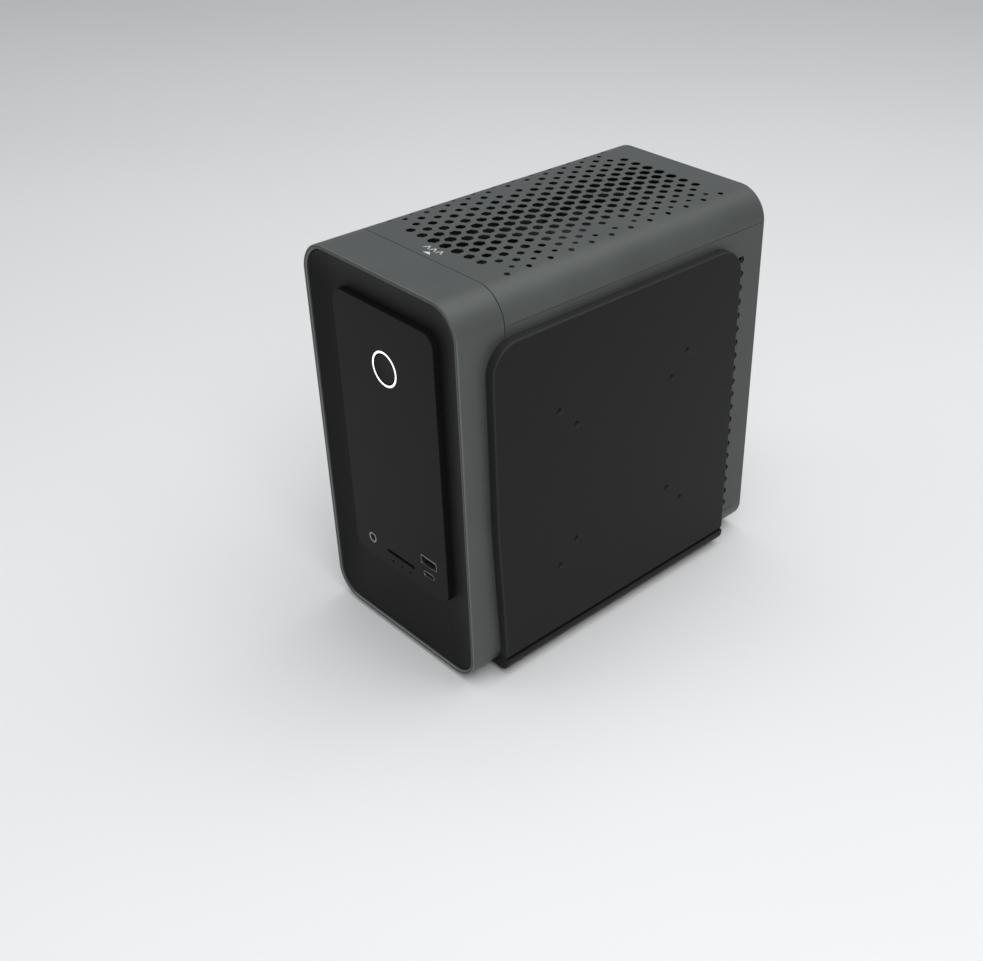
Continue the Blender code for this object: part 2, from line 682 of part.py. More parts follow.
def make_fan_frame(name, opening):
    """A square frame round an opening, with four arms behind it that carry the motor's disc."""
    half, motor, rim, arm = FAN_SIZE / 2, 0.0168, 0.0006, 0.004
    corner = half - 0.005
    square = rounded(-half, -half, half, half, 0.004, 0.004, 3)
    holes = [circle((a * corner, b * corner), 0.0021, 8) for a in (-1, 1) for b in (-1, 1)]
    duct = circle((0, 0), opening, 28)
    sectors = [sector(motor, opening - rim, arm, 45 + 90 * i) for i in range(4)]
    bm = bmesh.new()
    through_low = [ring(bm, loop, "Z", 0) for loop in (square, *holes)]
    through_high = [ring(bm, loop, "Z", FAN_THICKNESS) for loop in (square, *holes)]
    duct_low, duct_high = ring(bm, duct, "Z", FAN_BASE), ring(bm, duct, "Z", FAN_THICKNESS)
    sectors_low = [ring(bm, loop, "Z", 0) for loop in sectors]
    sectors_high = [ring(bm, loop, "Z", FAN_BASE) for loop in sectors]
    add_cap(bm, [square, *holes, *sectors], through_low + sectors_low)
    add_cap(bm, [square, *holes, duct], [*through_high, duct_high])
    add_cap(bm, [duct, *sectors], [duct_low, *sectors_high])
    for near, far in zip([*through_low, *sectors_low, duct_low], [*through_high, *sectors_high, duct_high]):
        add_wall(bm, near, far)
    return finish(bm, name, BODY)


def make_fan(name, centre, rotation):
    """A fan whose frame stands on the local XY plane, and the rotor that turns in it about local Z."""
    opening, clearance = 0.0440, 0.0008
    frame = make_fan_frame(name + "_frame", opening)
    frame.location = centre
    frame.rotation_euler = rotation
    paint(frame, BLACK, 0.5)
    lift = Vector((0, 0, FAN_BASE + clearance))
    lift.rotate(frame.rotation_euler)
    rotor_height = FAN_THICKNESS - FAN_BASE - 2 * clearance
    make_rotor(name + "_rotor", Vector(centre) + lift, rotation, opening - clearance, rotor_height)


def make_fans():
    up, sideways, rearwards = (0, 0, 0), (0, math.pi / 2, 0), (-math.pi / 2, 0, 0)
    for i, y in enumerate(TOP_FAN_YS, start=1):
        make_fan(f"top_fan_{i}", (0, y, TOP_FAN_Z), up)
    make_fan("cpu_fan", (-0.0247, *CPU_CENTRE), sideways)
    make_rotor("graphics_fan_rotor", (0.0415, *GRAPHICS_CENTRE), sideways, 0.0425, 0.0105)
    x, z = SUPPLY_FAN_CENTRE
    make_rotor("power_supply_fan_rotor", (x, 0.2095, z), rearwards, 0.0172, 0.0095)


def make_main_board():
    y_low, z_low, side = 0.044, 0.046, 0.170
    sheet = rectangle(y_low, z_low, y_low + side, z_low + side - 0.030)
    paint(prism("motherboard", [sheet], "X", BOARD_X, BOARD_X + BOARD_THICKNESS), CIRCUIT_BOARD, 0.5)

    fins, fin, half = 18, 0.0008, 0.045
    y, z = CPU_CENTRE
    base, root, tip = BOARD_FACE_X, BOARD_FACE_X + 0.006, -0.0250
    pitch = (2 * half - fin) / (fins - 1)
    comb = [(base, y + half), (base, y - half)]
    for i in range(fins):
        start = y - half + i * pitch
        comb += [(tip, start), (tip, start + fin)]
        if i < fins - 1:
            comb += [(root, start + fin), (root, start + pitch)]
    paint(prism("cpu_heatsink", [comb], "Z", z - half, z + half), STEEL, 0.4, 0.9)

    for i, stick_y in enumerate((0.060, 0.070), start=1):
        low, high = (BOARD_FACE_X, stick_y, 0.054), (-0.0225, stick_y + 0.0035, 0.1873)
        paint(box(f"memory_{i}", low, high), CIRCUIT_BOARD, 0.5)
    ssd_low, ssd_high = (BOARD_FACE_X, 0.090, 0.056), (BOARD_FACE_X + 0.004, 0.170, 0.078)
    paint(box("solid_state_drive", ssd_low, ssd_high), DARK_PLASTIC, 0.4)


def rear_block(name, low, high, openings, colour=STEEL):
    """A connector with blind openings in its rear face. Its corners are given as (x, z)."""
    front = 0.2050
    block = box(name, (low[0], front, low[1]), (high[0], SOCKET_REAR, high[1]))
    bm = bmesh.new()
    for outline in openings:
        add_prism(bm, [outline], "Y", SOCKET_FLOOR, SOCKET_REAR + WALL)
    boolean(block, finish(bm, name + "_openings", BODY), "DIFFERENCE")
    return paint(block, colour, 0.3, 0.8)


def board_socket(name, openings, colour=STEEL):
    """A connector that stands on the main board."""
    z, width, reach = BOARD_SOCKETS[name]
    low, high = (BOARD_FACE_X, z - width / 2), (BOARD_FACE_X + reach, z + width / 2)
    return rear_block(name, low, high, openings, colour)


def make_rear_sockets():
    jack_radius, first_jack, jack_pitch = 0.0018, 0.006, 0.0115
    z = BOARD_SOCKETS["audio_jacks"][0]
    jack_xs = [BOARD_FACE_X + first_jack + i * jack_pitch for i in range(3)]
    board_socket("audio_jacks", [circle((x, z), jack_radius, 12) for x in jack_xs], BLACK)
    lan_centre = (BOARD_FACE_X + 0.0068, BOARD_SOCKETS["lan_port"][0])
    board_socket("lan_port", [centred(lan_centre, (0.0100, 0.0118))])
    for name in ("usb_stack_1", "usb_stack_2"):
        xs = [BOARD_FACE_X + away for away in (0.0040, 0.0120)]
        board_socket(name, [centred((x, BOARD_SOCKETS[name][0]), (0.0048, 0.0124)) for x in xs])
    outlet_x = BOARD_FACE_X + 0.0034
    board_socket("display_sockets", [centred((outlet_x, z), (0.0048, 0.0142)) for z in DISPLAY_OUTLET_ZS])

    low, high = IO_OPENING[:2], IO_OPENING[2:]
    shield = [rectangle(low[0] + GAP, low[1] + GAP, high[0] - GAP, high[1] - GAP)]
    for z, width, reach in BOARD_SOCKETS.values():
        half = width / 2 + GAP
        shield.append(rectangle(BOARD_FACE_X - GAP, z - half, BOARD_FACE_X + reach + GAP, z + half))
    paint(prism("io_shield", shield, "Y", REAR_PANEL_Y, REAR_PANEL_Y + 0.0008), STEEL, 0.4, 0.9)


def make_graphics_card():
    board_x, thickness = 0.0140, 0.0016
    z_low, z_high, front, rear = 0.0760, 0.1870, 0.0400, 0.2180
    low, high = (board_x, front, z_low), (board_x + thickness, rear, z_high)
    paint(box("graphics_board", low, high), CIRCUIT_BOARD, 0.5)

    cooler_x = board_x + thickness + GAP
    low, high = (cooler_x, front, z_low), (0.0535, 0.2000, z_high)
    cooler = box("graphics_cooler", low, high)
    recess = [circle(GRAPHICS_CENTRE, 0.0440, 32)]
    boolean(cooler, prism("cooler_recess", recess, "X", 0.0400, 0.0600), "DIFFERENCE")
    paint(cooler, DARK_PLASTIC, 0.4)

    outlets_low, outlets_high = (cooler_x, 0.080), (cooler_x + 0.0066, 0.148)
    outlets = [centred((cooler_x + 0.0033, z), (0.0048, 0.0160)) for z in GRAPHICS_OUTLET_ZS]
    rear_block("graphics_outputs", outlets_low, outlets_high, outlets)

    x_low, bottom, x_high, top = CARD_OPENING
    outline = rectangle(x_low + GAP, bottom + GAP, x_high - GAP, top - GAP)
    window = rectangle(
        outlets_low[0] - GAP, outlets_low[1] - GAP, outlets_high[0] + GAP, outlets_high[1] + GAP
    )
    vents = [long_hexagon((0.0310 + i * 0.0075, 0.130), (0.0045, 0.090)) for i in range(3)]
    bracket = prism("graphics_bracket", [outline, window, *vents], "Y", REAR_PANEL_Y, REAR_PANEL_Y + 0.0010)
    paint(bracket, STEEL, 0.35, 0.9)

    low, high = (BOARD_FACE_X + 0.002, 0.110, 0.0480), (0.0220, 0.195, 0.0496)
    riser = box("riser_board", low, high)
    edge_socket = box("riser_socket", (0.0118, 0.115, 0.0490), (0.0188, 0.190, 0.0757))
    boolean(riser, edge_socket, "UNION")
    paint(riser, CIRCUIT_BOARD, 0.5)


def make_power_supply():
    case = box("power_supply", SUPPLY_LOW, SUPPLY_HIGH)
    sheet, cavity_rear = 0.0012, 0.2080
    cavity_low = [side + sheet for side in SUPPLY_LOW]
    cavity = box("supply_cavity", cavity_low, (SUPPLY_HIGH[0] - sheet, cavity_rear, SUPPLY_HIGH[2] - sheet))
    fan_recess = prism("supply_fan_recess", [circle(SUPPLY_FAN_CENTRE, 0.0182, 24)], "Y", 0.2070, 0.2250)
    inlet_size = (0.0270, 0.0200)
    pocket = [centred(INLET_CENTRE, [size + 2 * GAP for size in inlet_size])]
    inlet_recess = prism("inlet_recess", pocket, "Y", 0.2045, 0.2250)
    for cutter in (cavity, fan_recess, inlet_recess):
        boolean(case, cutter, "DIFFERENCE")
    paint(case, STEEL, 0.5, 0.8)

    face, floor, back = 0.2245, 0.2090, 0.2050
    inlet = socket(
        "power_inlet", centred(INLET_CENTRE, inlet_size), centred(INLET_CENTRE, (0.0242, 0.0168)),
        face, floor, back, None,
    )
    inlet.data.materials.clear()
    paint(inlet, BLACK, 0.4)
    x, z = INLET_CENTRE
    bm = bmesh.new()
    for pin_x, pin_z in ((x - 0.007, z - 0.002), (x + 0.007, z - 0.002), (x, z + 0.002)):
        add_prism(bm, [centred((pin_x, pin_z), (0.002, 0.004))], "Y", floor - 0.001, face - 0.0055)
    boolean(inlet, finish(bm, "inlet_pins", BODY), "UNION")


clear_scene()
BODY = make_body_frame()
make_front_band()
make_front_bezel()
make_front_panel()
make_power_control()
make_front_sockets()
make_top_cover()
make_thumbscrews()
make_bottom_cover()
make_side_panels()
make_side_plate()
make_rear_panel()
make_feet()
make_chassis()
make_fans()
make_main_board()
make_rear_sockets()
make_graphics_card()
make_power_supply()
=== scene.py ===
"""The looks of an upright six-litre desktop computer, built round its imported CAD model.

Each visible piece is remodelled from the sizes of its CAD node, with smooth corners, rounded edges and the
details that the CAD leaves out. Inner pieces keep their CAD shape. Places are in the enclosure's own frame:
X to its right, Y from the front lip to the rear, Z up from its underside."""

import json
from math import acos, asin, atan2, copysign, cos, degrees, pi, radians, sin, sqrt, tau

import bmesh
import bpy
from mathutils import Euler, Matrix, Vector
from mathutils.geometry import tessellate_polygon


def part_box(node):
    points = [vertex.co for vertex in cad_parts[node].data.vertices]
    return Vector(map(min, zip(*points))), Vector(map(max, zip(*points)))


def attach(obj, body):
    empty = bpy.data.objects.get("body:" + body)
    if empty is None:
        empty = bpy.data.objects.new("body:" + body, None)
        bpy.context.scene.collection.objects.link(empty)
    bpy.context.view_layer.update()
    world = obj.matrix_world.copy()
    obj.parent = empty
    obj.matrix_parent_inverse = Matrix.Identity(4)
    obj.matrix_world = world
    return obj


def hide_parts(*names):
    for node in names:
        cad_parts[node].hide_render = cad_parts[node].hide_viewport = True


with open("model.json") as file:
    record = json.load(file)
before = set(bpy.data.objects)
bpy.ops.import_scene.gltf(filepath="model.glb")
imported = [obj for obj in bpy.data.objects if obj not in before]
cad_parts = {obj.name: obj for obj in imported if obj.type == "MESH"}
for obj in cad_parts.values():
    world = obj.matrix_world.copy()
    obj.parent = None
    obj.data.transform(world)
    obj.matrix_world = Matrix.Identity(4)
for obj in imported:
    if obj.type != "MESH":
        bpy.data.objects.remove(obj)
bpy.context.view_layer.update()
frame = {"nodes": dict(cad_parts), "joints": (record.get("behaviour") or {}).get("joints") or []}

BAND_LOW, BAND_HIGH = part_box("front_band")
ORIGIN = Vector(((BAND_LOW.x + BAND_HIGH.x) / 2, BAND_LOW.y, BAND_LOW.z))
WIDTH = BAND_HIGH.x - BAND_LOW.x
HEIGHT = BAND_HIGH.z - BAND_LOW.z
BAND_DEPTH = BAND_HIGH.y - BAND_LOW.y

# Sizes that a box doesn't give.
TOP_RADIUS = 0.0189
BOTTOM_RADIUS = 0.0170
WALL = 0.002
GAP = 0.0003
LIP = 0.0025
SEAM_EDGE = 0.0003
PANEL_RADIUS = 0.008
PLATE_RADIUS = 0.017
PLATE_GROOVE_Z = (0.0094, 0.0110)
CORNER_STEPS = 24

VENT_ROWS = 23
VENT_LAST_COLUMN = 10
VENT_GAP_COLUMN = 8
VENT_GAP_ROWS = (0, 10, 12, 22)
VENT_FIRST_ROW_Y = 0.0467
VENT_ROW_PITCH = 0.00736
VENT_COLUMN_PITCH = 0.00476
VENT_CENTRE_X = -0.0011
VENT_RADII = (0.0036, 0.0036, 0.0032, 0.0029, 0.0024, 0.0018)
VENT_EDGE = 0.00016
SHEET = 0.0004

OUTLET_FLOOR = 0.2105
DISPLAY_OUTLET_ZS = (0.1030, 0.0820)
GRAPHICS_OUTLET_ZS = (0.092, 0.114, 0.136)
POWER_FAN_CENTRE = (-0.0185, 0.0255)

# How a rounded edge is cut: shares of its radius, inwards and then along the wall.
EDGE_STAGES = ((1.0, 0.0), (0.3, 0.3), (0.0, 1.0))
SQUARE_STAGES = ((0.0, 0.0),)


# Outlines: lists of points in a plane.


def extent(node):
    """A CAD node's lowest and highest corner in the enclosure's frame."""
    low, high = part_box(node)
    return low - ORIGIN, high - ORIGIN


def arc(centre, radius, start, end, steps):
    """Points from start to end, angles in degrees."""
    turns = [radians(start + (end - start) * i / steps) for i in range(steps + 1)]
    return [(centre[0] + radius * cos(t), centre[1] + radius * sin(t)) for t in turns]


def circle(centre, radius, sides=64):
    return arc(centre, radius, 0, 360, sides)[:-1]


def rectangle(low_a, low_b, high_a, high_b):
    return [(low_a, low_b), (high_a, low_b), (high_a, high_b), (low_a, high_b)]


def rounded(low_a, low_b, high_a, high_b, low_radius, high_radius, steps=CORNER_STEPS):
    """A rectangle whose two lower and two upper corners have their own radii."""
    return (
        arc((high_a - low_radius, low_b + low_radius), low_radius, -90, 0, steps)
        + arc((high_a - high_radius, high_b - high_radius), high_radius, 0, 90, steps)
        + arc((low_a + high_radius, high_b - high_radius), high_radius, 90, 180, steps)
        + arc((low_a + low_radius, low_b + low_radius), low_radius, 180, 270, steps)
    )


def rounded_box(centre, size, radius, steps=6):
    (a, b), half_a, half_b = centre, size[0] / 2, size[1] / 2
    return rounded(a - half_a, b - half_b, a + half_a, b + half_b, radius, radius, steps)


def enclosure(inset):
    """The enclosure's outline seen from the front, moved inwards by inset."""
    side, radii = WIDTH / 2 - inset, (BOTTOM_RADIUS - inset, TOP_RADIUS - inset)
    return rounded(-side, inset, side, HEIGHT - inset, *radii)


def long_hexagon(centre, size):
    """A slot with pointed ends, longer along its second axis."""
    half = size[0] / 2
    point = half / sqrt(3)
    straight = size[1] / 2 - point
    right = [(half, -straight), (half, straight), (0, straight + point)]
    return [(centre[0] + a, centre[1] + b) for a, b in right + [(-a, -b) for a, b in right]]


def cross(centre, reach, half):
    """A plus sign, for a screwdriver."""
    quarter = [(half, half), (half, reach), (-half, reach)]
    points = []
    for _ in range(4):
        points += quarter
        quarter = [(-b, a) for a, b in quarter]
    return [(centre[0] + a, centre[1] + b) for a, b in dict.fromkeys(points)]


def signed_area(outline):
    return sum(a[0] * b[1] - b[0] * a[1] for a, b in zip(outline, outline[1:] + outline[:1])) / 2


def shrink(outline, distance):
    """The outline with every side moved inwards by distance, or outwards if it is negative."""
    if not distance:
        return outline
    turn = copysign(distance, signed_area(outline))
    moved = []
    for before, here, after in zip(outline[-1:] + outline, outline, outline[1:] + outline):
        corner = Vector(here)
        arriving = (corner - Vector(before)).normalized()
        leaving = (Vector(after) - corner).normalized()
        both = arriving + leaving
        moved.append(tuple(corner + Vector((-both.y, both.x)) * turn / (1 + arriving.dot(leaving))))
    return moved


def ease(path, radius, steps=3):
    """An open path of (a, b) with each inner corner rounded off."""
    points = [Vector(point) for point in path]
    eased = [points[0]]
    for before, corner, after in zip(points, points[1:], points[2:]):
        start = corner + (before - corner) * min(radius / (before - corner).length, 0.5)
        end = corner + (after - corner) * min(radius / (after - corner).length, 0.5)
        for i in range(steps + 1):
            share = i / steps
            eased.append(start.lerp(corner, share).lerp(corner.lerp(end, share), share))
    return [tuple(point) for point in eased + [points[-1]]]


# Solids, added to a mesh under construction.


def place(axis, a, b, level):
    return Vector({"X": (level, a, b), "Y": (a, level, b), "Z": (a, b, level)}[axis])


def ring(bm, outline, axis, level):
    return [bm.verts.new(place(axis, a, b, level)) for a, b in outline]


def add_cap(bm, outlines, rings):
    """Fills between the first outline and the others, which are holes. The rings are their vertices."""
    corners = [corner for one in rings for corner in one]
    for indices in tessellate_polygon([[Vector((a, b, 0)) for a, b in loop] for loop in outlines]):
        bm.faces.new([corners[i] for i in indices])


def add_wall(bm, near, far):
    for i in range(len(near)):
        j = (i + 1) % len(near)
        bm.faces.new([near[i], near[j], far[j], far[i]])


def add_stack(bm, sections, axis):
    """Skins (outlines, level) sections, of which later outlines are holes, and caps the first.

    Returns the last section's rings, which stay open."""
    stack = [[ring(bm, outline, axis, level) for outline in outlines] for outlines, level in sections]
    for below, above in zip(stack, stack[1:]):
        for near, far in zip(below, above):
            add_wall(bm, near, far)
    add_cap(bm, sections[0][0], stack[0])
    return stack[-1]


def add_prism(bm, outlines, axis, low, high, low_edge=0.0, high_edge=0.0):
    """Adds the first outline, less the others as holes, between two levels, with its edges rounded."""
    low_stages = EDGE_STAGES if low_edge else SQUARE_STAGES
    high_stages = EDGE_STAGES if high_edge else SQUARE_STAGES
    stages = [(low + up * low_edge, inward * low_edge) for inward, up in low_stages]
    stages += [(high - up * high_edge, inward * high_edge) for inward, up in reversed(high_stages)]
    sections = []
    for level, amount in stages:
        loops = [shrink(loop, -amount if i else amount) for i, loop in enumerate(outlines)]
        sections.append((loops, level))
    add_cap(bm, sections[-1][0], add_stack(bm, sections, axis))


def add_recessed(bm, sections, recesses, floor):
    """A stack of (outline, level) sections along Y, with blind recesses from its last face down to floor."""
    rims = add_stack(bm, [([outline], level) for outline, level in sections], "Y")
    face, level = sections[-1]
    for recess in recesses:
        rims.append(ring(bm, recess, "Y", level))
        far = ring(bm, recess, "Y", floor)
        add_wall(bm, rims[-1], far)
        add_cap(bm, [recess], [far])
    add_cap(bm, [face, *recesses], rims)


def add_box(bm, low, high, edge=0.0):
    add_prism(bm, [rectangle(low[0], low[1], high[0], high[1])], "Z", low[2], high[2], edge, edge)


def add_loft(bm, loops, closed):
    """Skins equal loops of points. A closed loft joins the last to the first, an open one is capped."""
    rings = [[bm.verts.new(point) for point in loop] for loop in loops]
    for near, far in zip(rings, rings[1:]):
        add_wall(bm, near, far)
    if closed:
        add_wall(bm, rings[-1], rings[0])
    else:
        bm.faces.new(rings[0])
        bm.faces.new(rings[-1])


def at_depth(outline, y):
    return [Vector((x, y, z)) for x, z in outline]


def add_turned(bm, profile, centre, axis, sides=64):
    """Spins a profile of (radius, level) that starts and ends on the axis or closes on itself."""
    rings = []
    for radius, level in profile:
        rings.append(ring(bm, circle(centre, radius, sides) if radius > 1e-7 else [centre], axis, level))
    pairs = list(zip(rings, rings[1:]))
    if len(rings[0]) > 1:
        pairs.append((rings[-1], rings[0]))
    for near, far in (pair for pair in pairs if len(pair[0]) + len(pair[1]) > 2):
        for i in range(sides):
            j = (i + 1) % sides
            corners = [near[i % len(near)], near[j % len(near)], far[j % len(far)], far[i % len(far)]]
            bm.faces.new(list(dict.fromkeys(corners)))


def collar(inner, outer, front, back, edge):
    """The profile of a tube with an eased front."""
    return ease([(inner, back), (inner, front), (outer, front), (outer, back)], edge)


# Pieces.


def assign(thing, **settings):
    for key, value in settings.items():
        setattr(thing, key, value)
    return thing


def put(name, data, location=(0, 0, 0), rotation=(0, 0, 0)):
    obj = assign(bpy.data.objects.new(name, data), location=location, rotation_euler=rotation)
    bpy.context.scene.collection.objects.link(obj)
    return obj


def to_mesh(bm, name):
    mesh = bpy.data.meshes.new(name)
    bm.to_mesh(mesh)
    bm.free()
    return mesh


def settle(obj, finish, body, stands_for):
    """Gives a piece its material, its body and the CAD nodes that it stands for."""
    obj.data.materials.append(FINISHES[finish])
    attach(obj, body)
    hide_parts(*stands_for)
    return obj


def piece(bm, name, finish, stands_for=(), slot=None, body="enclosure", location=ORIGIN, rotation=(0, 0, 0)):
    bmesh.ops.recalc_face_normals(bm, faces=bm.faces)
    mesh = to_mesh(bm, name)
    mesh.shade_smooth()
    mesh.set_sharp_from_angle(angle=radians(35))
    obj = put(name, mesh, location, rotation)
    obj.modifiers.new("weighted_normals", "WEIGHTED_NORMAL").keep_sharp = True
    return settle(obj, finish, body, stands_for)


def turned_piece(name, finish, profile, centre, stands_for=(), axis="Y", sides=64, **settings):
    bm = bmesh.new()
    add_turned(bm, profile, centre, axis, sides)
    return piece(bm, name, finish, stands_for, **settings)


def repaint(obj, finish, chosen):
    """Gives a second finish to the polygons that chosen picks."""
    obj.data.materials.append(FINISHES[finish])
    for polygon in obj.data.polygons:
        if chosen(polygon):
            polygon.material_index = 1


def soften(node, width):
    """Rounds a CAD node's own edges without touching its mesh."""
    node.data.attributes.remove(node.data.attributes["custom_normal"])
    node.data.shade_smooth()
    node.modifiers.new("weld", "WELD").merge_threshold = 1e-6
    flat = node.modifiers.new("merge_flats", "DECIMATE")
    assign(flat, decimate_type="DISSOLVE", angle_limit=radians(1))
    bevel = node.modifiers.new("edges", "BEVEL")
    assign(bevel, width=width, segments=2, limit_method="ANGLE", angle_limit=radians(30))
    bevel.harden_normals = True


# Materials.

# A Mix node's colour sockets share their names with its other sockets, so they go by number.
COLOUR_INPUTS = (6, 7)
COLOUR_OUTPUT = 2


class Paint:
    """A Principled material under construction. Its patterns lie in the piece's own space, in metres."""

    def __init__(self, name):
        self.material = bpy.data.materials.new(name)
        self.material.use_nodes = True
        self.tree = self.material.node_tree
        self.place = self.node("ShaderNodeTexCoord", "Object")

    def feed(self, socket, value):
        """Links a socket to an output, or sets it. A colour gets its alpha."""
        if isinstance(value, bpy.types.NodeSocket):
            self.tree.links.new(value, socket)
        elif isinstance(value, tuple) and len(socket.default_value) == 4:
            socket.default_value = (*value, 1.0)
        else:
            socket.default_value = value

    def node(self, kind, output, inputs=None, **settings):
        """The named output of a new node."""
        made = assign(self.tree.nodes.new(kind), **settings)
        for key, value in (inputs or {}).items():
            self.feed(made.inputs[key], value)
        return made.outputs[output]

    def noise(self, scale, detail=2.0, stretch=(1, 1, 1)):
        scaled = self.node("ShaderNodeMapping", "Vector", {"Vector": self.place, "Scale": stretch})
        return self.node("ShaderNodeTexNoise", "Fac", {"Vector": scaled, "Scale": scale, "Detail": detail})

    def cells(self, scale, output):
        return self.node("ShaderNodeTexVoronoi", output, {"Vector": self.place, "Scale": scale})

    def spread(self, source, low, high, start=0.3, end=0.7):
        inputs = {"Value": source, "From Min": start, "From Max": end, "To Min": low, "To Max": high}
        return self.node("ShaderNodeMapRange", "Result", inputs)

    def combine(self, operation, first, second):
        return self.node("ShaderNodeMath", "Value", {0: first, 1: second}, operation=operation)

    def mix(self, share, first, second):
        inputs = {"Factor": share, COLOUR_INPUTS[0]: first, COLOUR_INPUTS[1]: second}
        return self.node("ShaderNodeMix", COLOUR_OUTPUT, inputs, data_type="RGBA")

    def edges(self, radius):
        """1 along edges and 0 on open faces, found by rounding the surface off and comparing its normals."""
        soft = self.node("ShaderNodeBevel", "Normal", {"Radius": radius}, samples=4)
        hard = self.node("ShaderNodeNewGeometry", "Normal")
        facing = self.node("ShaderNodeVectorMath", "Value", {0: soft, 1: hard}, operation="DOT_PRODUCT")
        return self.spread(facing, 1.0, 0.0, 0.80, 0.985)

    def bump(self, height, depth):
        return self.node("ShaderNodeBump", "Normal", {"Height": height, "Strength": 1.0, "Distance": depth})

    def finish(self, **sockets):
        """Sets the shader's sockets, named with underscores for spaces, and returns the material."""
        for key, value in sockets.items():
            self.feed(self.tree.nodes["Principled BSDF"].inputs[key.replace("_", " ")], value)
        return self.material


def tint(colour, amount):
    return tuple(channel * amount for channel in colour)


def grained(name, colour, roughness, grain, depth, metallic=0.0, specular=0.5, worn=1.6, mottle=0.12):
    """A fine-grained finish: paint, blasted metal, moulded plastic or rubber. grain is its size in metres."""
    paint = Paint(name)
    fine = paint.noise(1 / grain, 3.0)
    coarse = paint.noise(28.0, 4.0)
    speckle = paint.spread(fine, 1 - mottle, 1 + mottle)
    cloud = paint.spread(coarse, 1 - mottle / 2, 1 + mottle / 2)
    shade = paint.combine("MULTIPLY", speckle, cloud)
    base = paint.node("ShaderNodeVectorMath", "Vector", {0: colour, 3: shade}, operation="SCALE")
    wear = paint.combine("MULTIPLY", paint.edges(0.0005), paint.spread(paint.noise(350.0, 4.0), 0.35, 1.0))
    rough = paint.spread(fine, roughness - 0.04, roughness + 0.04)
    rough = paint.combine("ADD", paint.spread(coarse, -0.02, 0.02), rough)
    rough = paint.combine("SUBTRACT", rough, paint.combine("MULTIPLY", wear, 0.08))
    return paint.finish(
        Base_Color=paint.mix(wear, base, tint(colour, worn)),
        Roughness=rough,
        Metallic=metallic,
        Specular_IOR_Level=specular,
        Normal=paint.bump(fine, depth),
    )


def brushed(name, colour, roughness, stretch, scale, depth, mottle=0.10):
    """Bare metal with a direction to its scratches."""
    paint = Paint(name)
    lines = paint.noise(scale, 3.0, stretch)
    cloud = paint.noise(90.0, 4.0)
    base = paint.mix(paint.spread(cloud, 0.0, 1.0), tint(colour, 1 - mottle), tint(colour, 1 + mottle))
    smudge = paint.spread(paint.noise(45.0, 3.0), -0.05, 0.08)
    rough = paint.combine("ADD", smudge, paint.spread(lines, roughness - 0.06, roughness + 0.10))
    return paint.finish(Base_Color=base, Roughness=rough, Metallic=1.0, Normal=paint.bump(lines, depth))


def spangled(name, colour, roughness):
    """Zinc-plated sheet, whose crystals differ a little in tone."""
    paint = Paint(name)
    tone = paint.node("ShaderNodeRGBToBW", "Val", {"Color": paint.cells(480.0, "Color")})
    fine = paint.noise(2500.0, 2.0)
    base = paint.mix(paint.spread(tone, 0.0, 1.0, 0.2, 0.8), tint(colour, 0.93), tint(colour, 1.04))
    rough = paint.spread(tone, roughness, roughness + 0.1)
    rough = paint.combine("ADD", paint.spread(fine, -0.04, 0.06), rough)
    return paint.finish(Base_Color=base, Roughness=rough, Metallic=1.0, Normal=paint.bump(fine, 0.00001))


def solder_mask(name, colour):
    """A circuit board: copper runs that show through the mask as paler lines, and plated holes."""
    paint = Paint(name)
    bricks = {"Vector": paint.place, "Scale": 140.0, "Mortar Size": 0.035}
    runs = paint.node("ShaderNodeTexBrick", "Fac", bricks)
    holes = paint.spread(paint.cells(330.0, "Distance"), 1.0, 0.0, 0.10, 0.16)
    base = paint.mix(runs, colour, tint(colour, 2.2))
    base = paint.mix(holes, base, (0.45, 0.36, 0.18))
    height = paint.combine("ADD", runs, paint.noise(900.0, 3.0))
    rough = paint.spread(paint.noise(200.0, 3.0), 0.25, 0.42)
    normal = paint.bump(height, 0.00002)
    return paint.finish(Base_Color=base, Roughness=rough, Metallic=holes, Coat_Weight=0.3, Normal=normal)


def lit(name, colour, strength):
    """A translucent cover with lamps behind it, a little uneven from lamp to lamp."""
    paint = Paint(name)
    level = paint.spread(paint.noise(160.0, 2.0), strength * 0.92, strength * 1.05)
    rough = paint.spread(paint.noise(1500.0), 0.25, 0.4)
    return paint.finish(Base_Color=colour, Roughness=rough, Emission_Color=colour, Emission_Strength=level)


